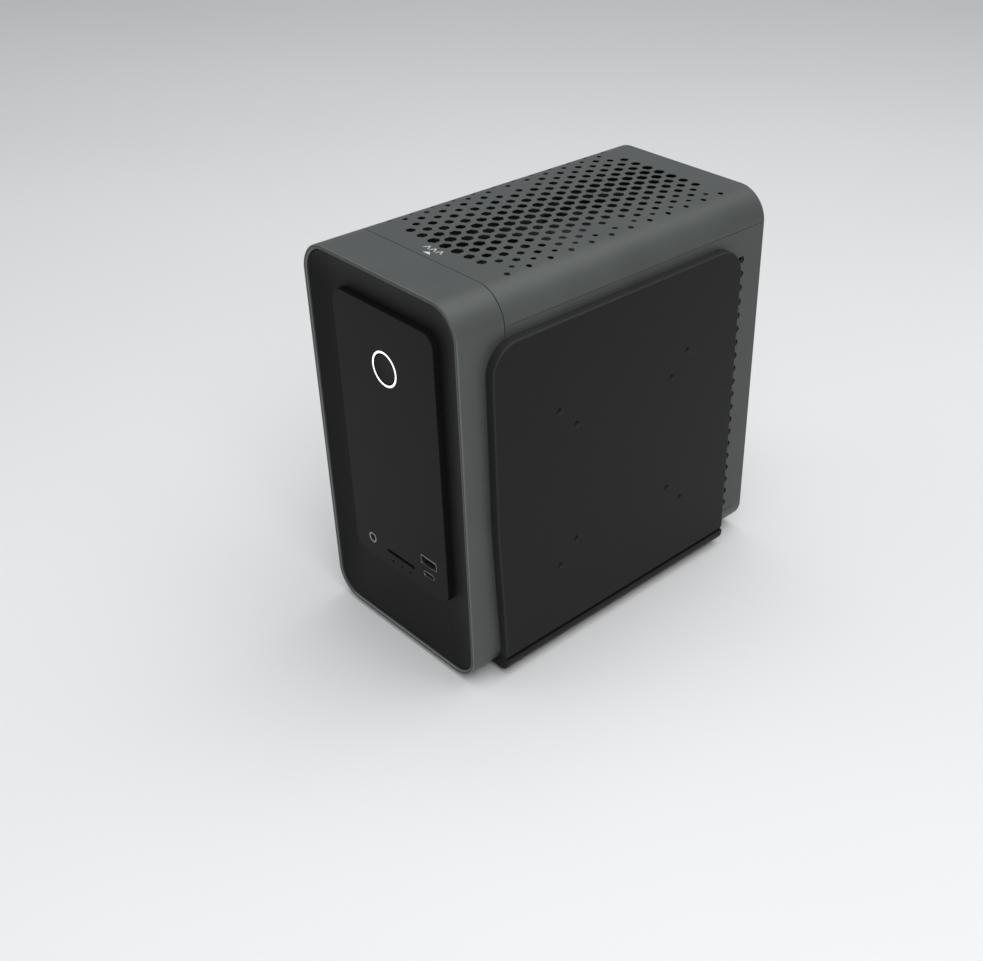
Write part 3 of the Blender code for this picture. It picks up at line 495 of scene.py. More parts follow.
def make_finishes():
    """Each finish has its maker and the arguments that follow the material's name."""
    table = {
        "shell": (grained, (0.078, 0.085, 0.082), 0.46, 0.00032, 0.000012, 0.25, 0.35),
        # A lighter copy of the shell paint: painted highlight for the lip's chamfers.
        "polished_edge": (grained, (0.13, 0.135, 0.132), 0.34, 0.0003, 0.000004, 0.55, 0.5, 1.2),
        "side_sheet": (grained, (0.075, 0.079, 0.077), 0.50, 0.00045, 0.00002, 0.2, 0.32),
        "front_plastic": (grained, (0.0094, 0.0094, 0.0096), 0.50, 0.00035, 0.000022, 0.0, 0.09, 2.6),
        "light_guide": (lit, (0.97, 0.98, 1.0), 0.78),
        "status_light": (grained, (0.002, 0.002, 0.002), 0.35, 0.0003, 0.000003, 0.0, 0.15, 1.5),
        "socket_metal": (brushed, (0.33, 0.32, 0.315), 0.30, (1, 1, 0.1), 4000.0, 0.000003),
        "gold": (brushed, (0.80, 0.58, 0.24), 0.24, (1, 0.1, 1), 3000.0, 0.000002),
        "black_plastic": (grained, (0.011, 0.011, 0.011), 0.42, 0.0004, 0.000015, 0.0, 0.4, 2.6),
        "circuit_board": (solder_mask, (0.010, 0.026, 0.016)),
        "plate_paint": (grained, (0.0118, 0.0118, 0.0118), 0.45, 0.0003, 0.000012, 0.1, 0.12, 2.0),
        # A lighter copy of the plate paint: painted highlight for the plate's walls and rounded rim.
        "plate_rim": (grained, (0.025, 0.025, 0.025), 0.50, 0.0003, 0.000012, 0.1, 0.15, 1.2),
        "rear_paint": (grained, (0.026, 0.026, 0.027), 0.55, 0.0006, 0.00004, 0.1, 0.3, 2.0),
        "zinc_steel": (spangled, (0.50, 0.50, 0.51), 0.34),
        "fin_metal": (brushed, (0.62, 0.62, 0.63), 0.34, (1, 1, 0.04), 2600.0, 0.000006),
        "foot_rubber": (grained, (0.013, 0.013, 0.013), 0.82, 0.0008, 0.00006, 0.0, 0.2, 1.5),
        "print": (grained, (0.62, 0.64, 0.63), 0.55, 0.0004, 0.000006, 0.0, 0.3, 1.0, 0.06),
        "faint_print": (grained, (0.004, 0.004, 0.004), 0.6, 0.0003, 0.00001, 0.0, 0.3, 1.0),
    }
    return {name: make(f"{name}_finish", *values) for name, (make, *values) in table.items()}


# Front end.


def make_front_band():
    """The lip has a cut outer edge, a hairline groove, a flat face and a rounded inner edge. Its front
    chamfers take a lighter finish, a painted highlight.
    """
    cut, groove, groove_end, hairline = 0.0005, 0.0008, 0.0012, 0.0005
    path = [
        (SEAM_EDGE, BAND_DEPTH), (0.0, BAND_DEPTH - SEAM_EDGE), (0.0, cut), (cut, 0.0), (groove, 0.0),
        (groove, hairline), (groove_end, hairline), (groove_end, 0.0), (LIP - cut, 0.0), (LIP, cut),
        (LIP, BAND_DEPTH),
    ]
    bm = bmesh.new()
    add_loft(bm, [at_depth(enclosure(inset), y) for inset, y in path], True)
    band = piece(bm, "band_casting", "shell", ["front_band"])
    # The lip's front chamfers take the lighter finish: a painted highlight along its edges.
    repaint(band, "polished_edge", lambda face: 0.3 < abs(face.normal.y) < 0.9 and face.center.y < cut)


def make_front_bezel():
    """Its face falls from the lip to the foot of the raised panel in a hollow curve."""
    low, high = extent("front_bezel")
    panel_low, panel_high = extent("front_panel")
    front, floor, steps = low.y, 0.0055, 20
    outer, radius = enclosure(LIP + GAP), PANEL_RADIUS + GAP
    panel = (panel_low.x - GAP, panel_low.z - GAP, panel_high.x + GAP, panel_high.z + GAP)
    start, inner = shrink(outer, GAP), rounded(*panel, radius, radius)
    loops = [at_depth(outer, front + 3 * GAP)]
    for share in (i / steps for i in range(steps + 1)):
        depth = front + (floor - front) * sin(share * pi / 2)
        loops.append(at_depth([Vector(a).lerp(Vector(b), share) for a, b in zip(start, inner)], depth))
    loops += [at_depth(inner, high.y), at_depth(outer, high.y)]
    bm = bmesh.new()
    add_loft(bm, loops, True)
    piece(bm, "dished_bezel", "front_plastic", ["front_bezel"])


def make_front_panel():
    low, high = extent("front_panel")
    ring_opening, jack_opening, lens_opening, corner = 0.0107, 0.0036, 0.0013, 0.0004
    openings = [circle(middle("power_ring"), ring_opening, 96)]
    openings.append(circle(middle("headset_jack"), jack_opening, 48))
    openings += [rounded_box(middle(node), grown(node), corner) for node in ("card_slot", "usb_a_port")]
    size = grown("usb_c_port")
    openings.append(rounded_box(middle("usb_c_port"), size, size[1] / 2 - 1e-6, 12))
    openings += [circle(middle(f"status_led_{i}"), lens_opening, 24) for i in (1, 2, 3)]
    outline = rounded(low.x, low.z, high.x, high.z, PANEL_RADIUS, PANEL_RADIUS)
    bm = bmesh.new()
    add_prism(bm, [outline, *openings], "Y", low.y, high.y, low_edge=0.0004)
    piece(bm, "raised_panel", "front_plastic", ["front_panel"])


def middle(node):
    """A front or rear node's centre as (x, z)."""
    low, high = extent(node)
    return (low.x + high.x) / 2, (low.z + high.z) / 2


def round_node(node, along=1):
    """A round node's centre across its axis, its radius, and its lowest and highest level along the axis."""
    low, high = extent(node)
    centre = tuple((low[i] + high[i]) / 2 for i in range(3) if i != along)
    return centre, (high.x - low.x) / 2, low[along], high[along]


def grown(node):
    """The size of the opening that a socket shows through."""
    low, high = extent(node)
    return high.x - low.x + 2 * GAP, high.z - low.z + 2 * GAP


def make_power_control():
    centre, outer, front, back = round_node("power_ring")
    lit_width, button = 0.0013, "power_button"
    profile = collar(outer - lit_width, outer, front, back, 0.0003)
    lit_ring = turned_piece("lit_ring", "light_guide", profile, centre, ["power_ring"], sides=128)
    repaint(lit_ring, "black_plastic", lambda face: abs(face.normal.y) < 0.3)

    _, radius, front, back = round_node(button)
    dish, steps = 0.0004, 8
    face = [(radius * i / steps, front + dish * (1 - (i / steps) ** 2)) for i in range(steps)]
    profile = face[:-1] + ease([face[-1], (radius, front), (radius, back)], 0.0006) + [(0, back)]
    turned_piece("button_cap", "front_plastic", profile, centre, [button], sides=96, body=button)

    proud, sunk, stroke, radius = 0.00008, 0.00017, 0.00022, 0.0026
    bow = arc(centre, radius + stroke, 120, 420, 40) + arc(centre, radius - stroke, 420, 120, 40)
    bar = rectangle(centre[0] - stroke, centre[1] + 0.0006, centre[0] + stroke, centre[1] + 0.0034)
    bm = bmesh.new()
    for mark in (bow, bar):
        add_prism(bm, [mark], "Y", front + dish - proud, front + dish + sunk)
    piece(bm, "power_symbol", "faint_print", slot="front_plastic", body=button)


def make_front_sockets():
    centre, radius, front, back = round_node("headset_jack")
    profile = collar(0.0024, radius, front, back, 0.0002)
    turned_piece("jack_ferrule", "socket_metal", profile, centre, ["headset_jack"])
    outside, bore, face, floor, end = 0.0023, 0.00175, front + 0.0006, back - 0.002, back - 0.001
    profile = [(outside, end), (outside, face), (bore, face + 0.0004), (bore, floor), (0, floor), (0, end)]
    turned_piece("jack_bore", "black_plastic", profile, centre, sides=48, slot="socket_metal")

    make_front_socket("card_slot", "card_slot_moulding", "black_plastic", 0.0003, 0.00025)
    make_front_socket("usb_a_port", "usb_a_shell", "socket_metal", 0.0004, 0.00028)
    make_front_socket("usb_c_port", "usb_c_shell", "socket_metal", None, 0.00028)
    make_front_tongue("usb_a", half=0.0055, bottom=0.0001, top=0.0017, count=4)
    make_front_tongue("usb_c", half=0.0033, bottom=-0.00035, top=0.00035, count=8)

    for i in (1, 2, 3):
        node = f"status_led_{i}"
        centre, radius, front, back = round_node(node)
        face = front + 0.0010
        profile = ease([(0, face), (radius, face), (radius, back)], 0.0003) + [(0, back)]
        lens = f"status_lens_{i}"
        turned_piece(lens, "status_light", profile, centre, [node], sides=32, slot="light_guide")


def make_front_socket(node, name, finish, radius, wall):
    """A cup with rounded corners and a slightly flared mouth. No radius means fully round ends."""
    low, high = extent(node)
    size = (high.x - low.x, high.z - low.z)
    outline = rounded_box(middle(node), size, radius or size[1] / 2 - 1e-6, 12)
    floor, flare = 0.0140, 0.00012
    sections = [
        (wall, floor), (wall, low.y + 2 * flare), (wall - flare, low.y), (flare, low.y), (0, low.y + flare),
        (0, high.y),
    ]
    bm = bmesh.new()
    add_loft(bm, [at_depth(shrink(outline, inset), y) for inset, y in sections], False)
    piece(bm, name, finish, [node])


def make_front_tongue(port, half, bottom, top, count):
    """A flat tongue, placed from its port's middle, with its contacts underneath."""
    x, z = middle(f"{port}_port")
    front, back, pitch = 0.0030, 0.0140, 2 * half / (count + 0.6)
    low, high = (x - half, front, z + bottom), (x + half, back, z + top)
    names = (f"{port}_tongue", f"{port}_tongue_contacts")
    make_tongue(names, low, high, 0, count, pitch, 0.3 * pitch, (front + 0.0006, back), 0.00006)


def make_tongue(names, low, high, row, count, pitch, half, ends, proud):
    """A plastic tongue, with a row of gilt contacts on its low side along axis 0 or 2, over the ends in y."""
    bm = bmesh.new()
    add_box(bm, low, high, 0.0001)
    piece(bm, names[0], "black_plastic", slot="socket_metal")
    bm = bmesh.new()
    for i in range(count):
        at = (low[row] + high[row]) / 2 + (i - (count - 1) / 2) * pitch
        start, end = [low[2 - row] - proud] * 3, [low[2 - row] + proud] * 3
        start[row], end[row] = at - half, at + half
        start[1], end[1] = ends
        add_box(bm, start, end)
    piece(bm, names[1], "gold", slot="socket_metal")


# Covers and panels.


class Shell:
    """A half shell over a flat face and down two round corners. A point of it is named by its plan (x, y)."""

    def __init__(self, radius, up):
        self.radius, self.up = radius, up
        self.turn_x = WIDTH / 2 - radius

    def lean(self, x):
        """The angle from straight up of the surface's normal, in radians."""
        beyond = max(0.0, abs(x) - self.turn_x) / self.radius
        return copysign(asin(min(1.0, beyond)), x)

    def normal(self, x):
        return Vector((sin(self.lean(x)), 0, self.up * cos(self.lean(x))))

    def point(self, x, y, depth):
        """The point at that depth below the surface, straight in along its normal."""
        lean = self.lean(x)
        along = (self.radius - depth) * sin(lean)
        across = copysign(self.turn_x, x) + along if lean else x
        rise = self.radius - (self.radius - depth) * cos(lean)
        return Vector((across, y, HEIGHT - rise if self.up > 0 else rise))

    def corner_stations(self, start, reach):
        """Plan x values down the right corner, from start to where the shell ends."""
        end = acos((self.radius - reach) / self.radius)
        first = self.lean(start)
        turns = [first + (end - first) * i / CORNER_STEPS for i in range(CORNER_STEPS + 1)]
        return [self.turn_x + self.radius * sin(turn) for turn in turns]


def bridge(outer, inner, centre):
    """Triangles between two convex loops, one inside the other, taken in turn by their angle about centre."""

    def by_angle(loop):
        angled = sorted((atan2(b - centre[1], a - centre[0]), (a, b)) for a, b in loop)
        angled.append((angled[0][0] + tau, angled[0][1]))
        return angled

    outside, inside = by_angle(outer), by_angle(inner)
    triangles = []
    i = j = 0
    while i < len(outer) or j < len(inner):
        if j == len(inner) or (i < len(outer) and outside[i + 1][0] <= inside[j + 1][0]):
            triangles.append([outside[i][1], outside[i + 1][1], inside[j][1]])
            i += 1
        else:
            triangles.append([outside[i][1], inside[j + 1][1], inside[j][1]])
            j += 1
    return triangles


def perforated(shell, sheet, edge_shift):
    """A sheet laid out in plan as faces, made into the vertices and faces of a shell.

    Also returns whether each face lies in the outer or the inner skin. edge_shift gives how far a corner on
    a rim moves in plan to leave room for the rounded edge."""
    places, faces, skins = [], [], []
    index = {}

    def corner(point, layer):
        key = (snap(point), layer)
        if key not in index:
            index[key] = len(places)
            shift = edge_shift.get(key[0], (0.0, 0.0)) if layer == 0 else (0.0, 0.0)
            depth = (0.0, VENT_EDGE, SHEET)[layer]
            places.append(shell.point(point[0] + shift[0], point[1] + shift[1], depth))
        return index[key]

    rims = {}
    for face in sheet:
        if (signed_area(face) > 0) != (shell.up > 0):
            face = face[::-1]
        faces.append([corner(point, 0) for point in face])
        faces.append([corner(point, 2) for point in reversed(face)])
        skins += [True, True]
        for here, there in zip(face, face[1:] + face[:1]):
            ends = (corner(here, 0), corner(there, 0))
            if ends[::-1] in rims:
                del rims[ends[::-1]]
            else:
                rims[ends] = (here, there)
    for here, there in rims.values():
        for near, far in ((0, 1), (1, 2)):
            faces.append([corner(there, near), corner(here, near), corner(here, far), corner(there, far)])
            skins.append(False)
    return places, faces, skins


def make_shell(name, node, shell, sheet, edge_shift, body):
    """A perforated shell's skins are shaded by the true surface, its rims by their own faces."""
    places, faces, skins = perforated(shell, sheet, edge_shift)
    mesh = bpy.data.meshes.new(name)
    mesh.from_pydata(places, [], faces)
    mesh.shade_smooth()
    normals = []
    for face, in_skin in zip(mesh.polygons, skins):
        for vertex in face.vertices:
            normal = shell.normal(places[vertex].x) if in_skin else face.normal
            normals.append(normal * (1 if normal.dot(face.normal) > 0 else -1))
    mesh.normals_split_custom_set([normal.normalized() for normal in normals])
    settle(put(name, mesh, ORIGIN), "shell", body, [node])


def grid(xs, ys):
    return [rectangle(x, y, x_end, y_end) for x, x_end in zip(xs, xs[1:]) for y, y_end in zip(ys, ys[1:])]


def snap(point):
    """A point in plan as a key."""
    return round(point[0], 6), round(point[1], 6)


def rim_shift(xs, low_y, high_y):
    """How the outer skin gives way for the rounded edge along its front and its rear."""
    edges = ((low_y, VENT_EDGE), (high_y, -VENT_EDGE))
    return {snap((x, y)): (0.0, away) for x in xs for y, away in edges}


def make_top_cover():
    """A staggered grid of cells, most with a vent, and plain strips on all sides."""
    low, high = extent("top_cover")
    shell, sheet, shift = Shell(TOP_RADIUS, 1), [], {}
    left, right = (VENT_CENTRE_X + side * (VENT_LAST_COLUMN + 1) * VENT_COLUMN_PITCH for side in (-1, 1))
    rows = [VENT_FIRST_ROW_Y + (row - 0.5) * VENT_ROW_PITCH for row in range(VENT_ROWS + 1)]

    def stations(start, end):
        quarters = round(4 * (end - start) / VENT_COLUMN_PITCH)
        return [start + (end - start) * i / quarters for i in range(quarters + 1)]

    for row, ys in enumerate(zip(rows, rows[1:])):
        y = sum(ys) / 2
        for column in range(-VENT_LAST_COLUMN - row % 2, VENT_LAST_COLUMN + 2, 2):
            x = VENT_CENTRE_X + column * VENT_COLUMN_PITCH
            xs = stations(max(left, x - VENT_COLUMN_PITCH), min(right, x + VENT_COLUMN_PITCH))
            is_gap = row in VENT_GAP_ROWS and abs(column) == VENT_GAP_COLUMN
            if is_gap or abs(column) > VENT_LAST_COLUMN:
                sheet += grid(xs, ys)
                continue
            radius = VENT_RADII[(abs(column) + 1) // 2]
            grow = VENT_EDGE / radius
            hexagon = [(x + b, y + a) for a, b in circle((0, 0), radius, 6)]
            shift.update({snap((a, b)): ((a - x) * grow, (b - y) * grow) for a, b in hexagon})
            sheet += bridge([(x_at, y_at) for y_at in ys for x_at in xs], hexagon, (x, y))
    across, ys = stations(left, right), [low.y, *rows, high.y]
    reach = HEIGHT - extent("right_side_panel")[1].z - GAP
    down_right = shell.corner_stations(right, reach)
    down_left = [-x for x in reversed(shell.corner_stations(-left, reach))]
    sheet += grid(across, ys[:2]) + grid(across, ys[-2:]) + grid(down_left, ys) + grid(down_right, ys)
    shift.update(rim_shift(down_left + across + down_right, low.y, high.y))
    make_shell("vented_cover", "top_cover", shell, sheet, shift, "top_cover")

    half, foot, seat, screw_hole = 0.050, 0.2135, 0.225, 0.0025
    flange = [rectangle(-half, foot, half, HEIGHT - WALL / 2)]
    flange += [circle(middle(f"thumbscrew_{i}"), screw_hole, 32) for i in (1, 2)]
    bm = bmesh.new()
    add_prism(bm, flange, "Y", seat, seat + WALL, SEAM_EDGE, SEAM_EDGE)
    piece(bm, "cover_flange", "shell", body="top_cover")


def make_cover_print():
    """A small triangle that points to the rear, the way the cover slides, over three chevrons."""
    marks = [[(-0.0029, 0.0334), (0.0029, 0.0334), (0.0, 0.0357)]]
    half, low, rise, stroke, sunk, proud = 0.0019, 0.0370, 0.0030, 0.0010, 0.0001, 0.00004
    for x in (-0.0057, -0.0007, 0.0043):
        near = [(x - half, low), (x, low + rise), (x + half, low)]
        marks.append(near + [(a, b + stroke) for a, b in reversed(near)])
    bm = bmesh.new()
    for mark in marks:
        add_prism(bm, [mark], "Z", HEIGHT - sunk, HEIGHT + proud)
    piece(bm, "cover_print", "print", slot="shell", body="top_cover")


def make_bottom_cover():
    low, high = extent("bottom_cover")
    shell = Shell(BOTTOM_RADIUS, -1)
    reach = extent("right_side_panel")[0].z - GAP
    slots = [long_hexagon(((i - 4) * 0.0090, 0.130), (0.0050, 0.060)) for i in range(9)]
    shift = {}
    for slot in slots:
        for (x, y), (x_out, y_out) in zip(slot, shrink(slot, -VENT_EDGE)):
            shift[snap((x, y))] = (x_out - x, y_out - y)
    down_right = shell.corner_stations(shell.turn_x, reach)
    down_left = [-x for x in reversed(down_right)]
    loops = [rectangle(-shell.turn_x, low.y, shell.turn_x, high.y), *slots]
    points = [point for loop in loops for point in loop]
    flat = tessellate_polygon([[Vector((*point, 0)) for point in loop] for loop in loops])
    sheet = [[points[i] for i in indices] for indices in flat]
    ys = [low.y, high.y]
    sheet += grid(down_left, ys) + grid(down_right, ys)
    shift.update(rim_shift(down_left + down_right, low.y, high.y))
    make_shell("bottom_shell", "bottom_cover", shell, sheet, shift, "enclosure")


def make_side_panels():
    """Slotted sheets between the half shells. A thin lip inside each one closes its seams to light."""
    upright = [
        long_hexagon((0.060 + column * 0.0115, 0.075 + row * 0.075), (0.0060, 0.060))
        for row in range(2)
        for column in range(12)
    ]
    level = [
        [(b, a) for a, b in long_hexagon((0.0242 + row * 0.0089, y), (0.0050, 0.0840))]
        for row in range(20)
        for y in (0.0785, 0.1725)
    ]
    lip_reach, lap = 0.0015, 0.0010
    lip_xs = (WIDTH / 2 - WALL - GAP, WIDTH / 2 - WALL + GAP)
    for side, slots, sign in (("left", upright, -1), ("right", level, 1)):
        low, high = extent(f"{side}_side_panel")
        bm = bmesh.new()
        sheet = rectangle(low.y, low.z, high.y, high.z)
        add_prism(bm, [sheet, *slots], "X", low.x, high.x, SEAM_EDGE, SEAM_EDGE)
        near, far = sorted(sign * x for x in lip_xs)
        for z_low, z_high in ((high.z - lap, high.z + lip_reach), (low.z - lip_reach, low.z + lap)):
            add_box(bm, (near, low.y, z_low), (far, high.y - SEAM_EDGE, z_high))
        piece(bm, f"{side}_slotted_sheet", "side_sheet", [f"{side}_side_panel"])


def make_side_plate():
    """A slab with a rounded rim and eight threaded holes, over a groove and a foot that wraps round. Above
    the groove its walls and rounded rim carry a painted highlight.
    """
    low, high = extent("side_plate")
    edge, countersink, bore, bore_depth = 0.0012, 0.0024, 0.0020, 0.0045
    face, foot_front, taper_z, top = high.x, 0.0199, 0.095, high.z - PLATE_RADIUS
    outline = [(foot_front, PLATE_GROOVE_Z[1]), (high.y, PLATE_GROOVE_Z[1])]
    outline += arc((high.y - PLATE_RADIUS, top), PLATE_RADIUS, 0, 90, CORNER_STEPS)
    outline += arc((low.y + PLATE_RADIUS, top), PLATE_RADIUS, 90, 180, CORNER_STEPS)
    outline.append((low.y, taper_z))
    sections = [([outline], WIDTH / 2 + GAP)]
    for turn in (radians(15 * i) for i in range(7)):
        sections.append(([shrink(outline, edge * (1 - cos(turn)))], face - edge * (1 - sin(turn))))
    bm = bmesh.new()
    rim = add_stack(bm, sections, "X")

    centres = [
        (0.1111 + pitch * y_side, 0.1049 + pitch * z_side)
        for pitch in (0.075, 0.100)
        for y_side in (-0.5, 0.5)
        for z_side in (-0.5, 0.5)
    ]
    countersinks = [circle(centre, countersink, 40) for centre in centres]
    mouths = [ring(bm, loop, "X", face) for loop in countersinks]
    add_cap(bm, sections[-1][0] + countersinks, rim + mouths)
    start = face - (countersink - bore)
    for centre, mouth in zip(centres, mouths):
        throat = ring(bm, circle(centre, bore, 40), "X", start)
        add_wall(bm, mouth, throat)
        add_thread(bm, throat, centre, bore, start, face - bore_depth)
    add_prism(bm, [foot_profile(low, face)], "Y", foot_front, high.y, 0.0003, 0.0003)
    plate = piece(bm, "mounting_plate", "plate_paint", ["side_plate"])
    # Faces above the groove that don't face sideways take the lighter finish: a painted highlight on the
    # plate's walls and rounded rim.
    highlight_from_z = PLATE_GROOVE_Z[1] + edge
    repaint(plate, "plate_rim", lambda part: abs(part.normal.x) < 0.97 and part.center.z > highlight_from_z)


def foot_profile(low, face):
    """The plate's foot seen from the front: round outside, and along the enclosure's corner inside."""
    radius, groove_depth, lap = 0.007, 0.0012, 0.0005
    corner, clear = (WIDTH / 2 - BOTTOM_RADIUS, BOTTOM_RADIUS), BOTTOM_RADIUS + GAP
    groove_z, top = PLATE_GROOVE_Z[0], PLATE_GROOVE_Z[1] + lap
    start = degrees(asin((top - corner[1]) / clear))
    end = -degrees(acos((low.x - corner[0]) / clear))
    floor_x = face - groove_depth
    return (
        [(low.x, low.z)]
        + arc((face - radius, low.z + radius), radius, -90, 0, CORNER_STEPS)
        + [(face, groove_z), (floor_x, groove_z), (floor_x, top)]
        + arc(corner, clear, start, end, CORNER_STEPS)
    )


def add_thread(bm, bore, centre, radius, start, end):
    """Ridges of an M4 thread down a bore along X, closed by a flat floor."""
    pitch, ridge, previous = 0.0007, 0.00032, bore
    turns = int((start - end) / (pitch / 2))
    for i in range(1, turns + 1):
        size = radius - ridge if i % 2 else radius
        here = ring(bm, circle(centre, size, 40), "X", start + (end - start) * i / turns)
        add_wall(bm, previous, here)
        previous = here
    bm.faces.new(previous)


def make_rear_panel():
    low, high = extent("rear_panel")
    board_opening = rectangle(-0.0560, 0.0490, -0.0190, 0.2000)
    card_opening = rectangle(0.0140, 0.0740, 0.0550, 0.1900)
    fan_opening = circle(POWER_FAN_CENTRE, 0.0190, 72)
    inlet_opening = rounded_box((0.0215, 0.0255), (0.0276, 0.0206), 0.0012)
    slots = [long_hexagon((-0.0085 + column * 0.0085, 0.130), (0.0050, 0.110)) for column in range(3)]
    outlines = [enclosure(WALL + GAP), board_opening, card_opening, fan_opening, inlet_opening, *slots]
    bm = bmesh.new()
    add_prism(bm, outlines, "Y", low.y, high.y, SEAM_EDGE, SEAM_EDGE)
    piece(bm, "rear_sheet", "rear_paint", ["rear_panel"])


def make_screws():
    """Round heads with a cross recess, and two knurled ones on the cover's flange."""
    for i in range(1, 5):
        centre, radius, seat, top = round_node(f"rear_screw_{i}")
        rim, recess = 0.0008, 0.0008
        dome = [(radius, seat), (radius, seat + rim), (0.0024, top - 0.0002), (0.0018, top)]
        sections = [(circle(centre, size, 48), y) for size, y in dome]
        bm = bmesh.new()
        add_recessed(bm, sections, [cross(centre, 0.0015, 0.0003)], top - recess)
        piece(bm, f"rear_screw_head_{i}", "zinc_steel", [f"rear_screw_{i}"])
    for i in (1, 2):
        make_thumbscrew(f"thumbscrew_{i}", f"knurled_screw_{i}")


def make_thumbscrew(node, name):
    centre, radius, end, top = round_node(node)
    seat, edge, bevel, recess, relief, sides = 0.2273, 0.0003, 0.0007, 0.0014, 0.00022, 160

    def knurl(inset):
        points = []
        for k, (a, b) in enumerate(circle((0, 0), 1.0, sides)):
            size = radius - inset - (relief if k % 4 < 2 else 0.0)
            points.append((centre[0] + a * size, centre[1] + b * size))
        return points

    sections = [(knurl(edge), seat), (knurl(0.0), seat + edge), (knurl(0.0), top - bevel)]
    sections.append((circle(centre, radius - 0.0009, sides), top))
    bm = bmesh.new()
    add_recessed(bm, sections, [cross(centre, 0.0026, 0.0005)], top - recess)
    shank, shank_end = 0.0018, seat + 0.0002
    add_turned(bm, [(0, end), (shank, end), (shank, shank_end), (0, shank_end)], centre, "Y", 32)
    piece(bm, name, "socket_metal", [node], slot="zinc_steel", body=node)


def make_feet():
    """Each foot has a shallow hollow in its tread."""
    for i in range(1, 5):
        centre, radius, tread, top = round_node(f"foot_{i}", 2)
        hollow, edge = tread + 0.0003, 0.0004
        profile = [(0, hollow), (0.0035, hollow), (0.0040, tread), (radius - edge, tread)]
        profile = ease(profile + [(radius, tread + 0.0006), (radius, top)], edge) + [(0, top)]
        turned_piece(f"rubber_foot_{i}", "foot_rubber", profile, centre, [f"foot_{i}"], "Z")


# Fans.

DIAGONALS = [radians(45 + 90 * i) for i in range(4)]


def blade_loops(inner_radius, outer_radius, height, angle):
    """Sections of a swept, cambered blade, from root to tip."""
    rows, chords, thickness = 9, 8, 0.0014
    loops = []
    for i in range(rows + 1):
        share = i / rows
        radius = inner_radius + (outer_radius - inner_radius) * share
        lead = angle + radians(14) * share ** 2
        span = radians(38 - 8 * share)
        upper, lower = [], []
        for j in range(chords + 1):
            along = j / chords
            turn = lead + span * along
            level = height * (0.5 - along) + 0.10 * height * sin(pi * along)
            half = thickness / 2 * (0.35 + 0.65 * sin(pi * along))
            x, y = radius * cos(turn), radius * sin(turn)
            upper.append((x, y, level + half))
            lower.append((x, y, level - half))
        loops.append([Vector(point) for point in upper + lower[::-1]])
    return loops


def make_rotor(fan, rotation, radius, height):
    """A hub and seven blades that turn about the local Z axis of the fan's joint."""
    node = f"{fan}_rotor"
    low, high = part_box(node)
    forward = Vector((0, 0, 1))
    forward.rotate(Euler(rotation))
    location = Vector(next(joint for joint in frame["joints"] if joint["name"] == f"{fan}_spin")["pos_m"])
    for axis in range(3):
        if abs(forward[axis]) > 0.5:
            location[axis] = low[axis] if forward[axis] > 0 else high[axis]
    hub = 0.38 * radius
    bm = bmesh.new()
    profile = [(0, 0), (hub, 0), (hub, height), (0.55 * hub, height), (0.5 * hub, height - 0.0003)]
    add_turned(bm, ease(profile, 0.0008) + [(0, height - 0.0003)], (0, 0), "Z")
    start = len(bm.verts)
    for i in range(7):
        add_loft(bm, blade_loops(hub - 0.001, radius, height - 0.0035, i * tau / 7), False)
    bm.verts.ensure_lookup_table()
    bmesh.ops.translate(bm, verts=bm.verts[start:], vec=(0, 0, height / 2))
    piece(bm, f"{fan}_blades", "black_plastic", [node], body=node, location=location, rotation=rotation)


def make_fan_frame(fan, rotation):
    """A square housing, with the motor's seat on four struts across its open side."""
    low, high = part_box(f"{fan}_frame")
    centre = (low + high) / 2
    location = Vector((low.x, centre.y, centre.z)) if any(rotation) else Vector((centre.x, centre.y, low.z))
    half, opening, motor, base, thickness, edge = 0.046, 0.0440, 0.0168, 0.0025, 0.015, 0.0003
    corner = half - 0.005
    square = rounded(-half, -half, half, half, 0.004, 0.004, 8)
    holes = [circle((a * corner, b * corner), 0.0021, 32) for a in (-1, 1) for b in (-1, 1)]
    bm = bmesh.new()
    add_prism(bm, [square, *holes, circle((0, 0), opening, 128)], "Z", 0, thickness, edge, edge)
    add_prism(bm, [circle((0, 0), motor, 64)], "Z", 0, base, edge, edge)
    for turn in DIAGONALS:
        out = Vector((cos(turn), sin(turn)))
        across = out.orthogonal() * 0.002
        near, far = out * (motor - 0.001), out * (opening + 0.0005)
        strut = [tuple(near - across), tuple(far - across), tuple(far + across), tuple(near + across)]
        add_prism(bm, [strut], "Z", 0, base, edge, edge)
    piece(bm, f"{fan}_housing", "black_plastic", [f"{fan}_frame"], location=location, rotation=rotation)


def make_fans():
    """Three framed fans of one size, and the bare rotors of the graphics card and the power supply."""
    up, sideways, rearwards = (0, 0, 0), (0, pi / 2, 0), (-pi / 2, 0, 0)
    for fan, rotation in (("top_fan_1", up), ("top_fan_2", up), ("cpu_fan", sideways)):
        make_fan_frame(fan, rotation)
        make_rotor(fan, rotation, 0.0432, 0.0109)
    make_rotor("graphics_fan", sideways, 0.0425, 0.0105)
    make_rotor("power_supply_fan", rearwards, 0.0172, 0.0095)


# Rear connectors.


def make_rear_block(node, name, openings):
    """A connector's body with an eased rear edge and blind openings in its rear face."""
    low, high = extent(node)
    outline, edge = rectangle(low.x, low.z, high.x, high.z), 0.0002
    steps = ((0.0, low.y), (0.0, high.y - edge), (0.3 * edge, high.y - 0.3 * edge), (edge, high.y))
    bm = bmesh.new()
    add_recessed(bm, [(shrink(outline, inset), y) for inset, y in steps], openings, OUTLET_FLOOR)
    piece(bm, name, frame["nodes"][node].data.materials[0].name, [node])


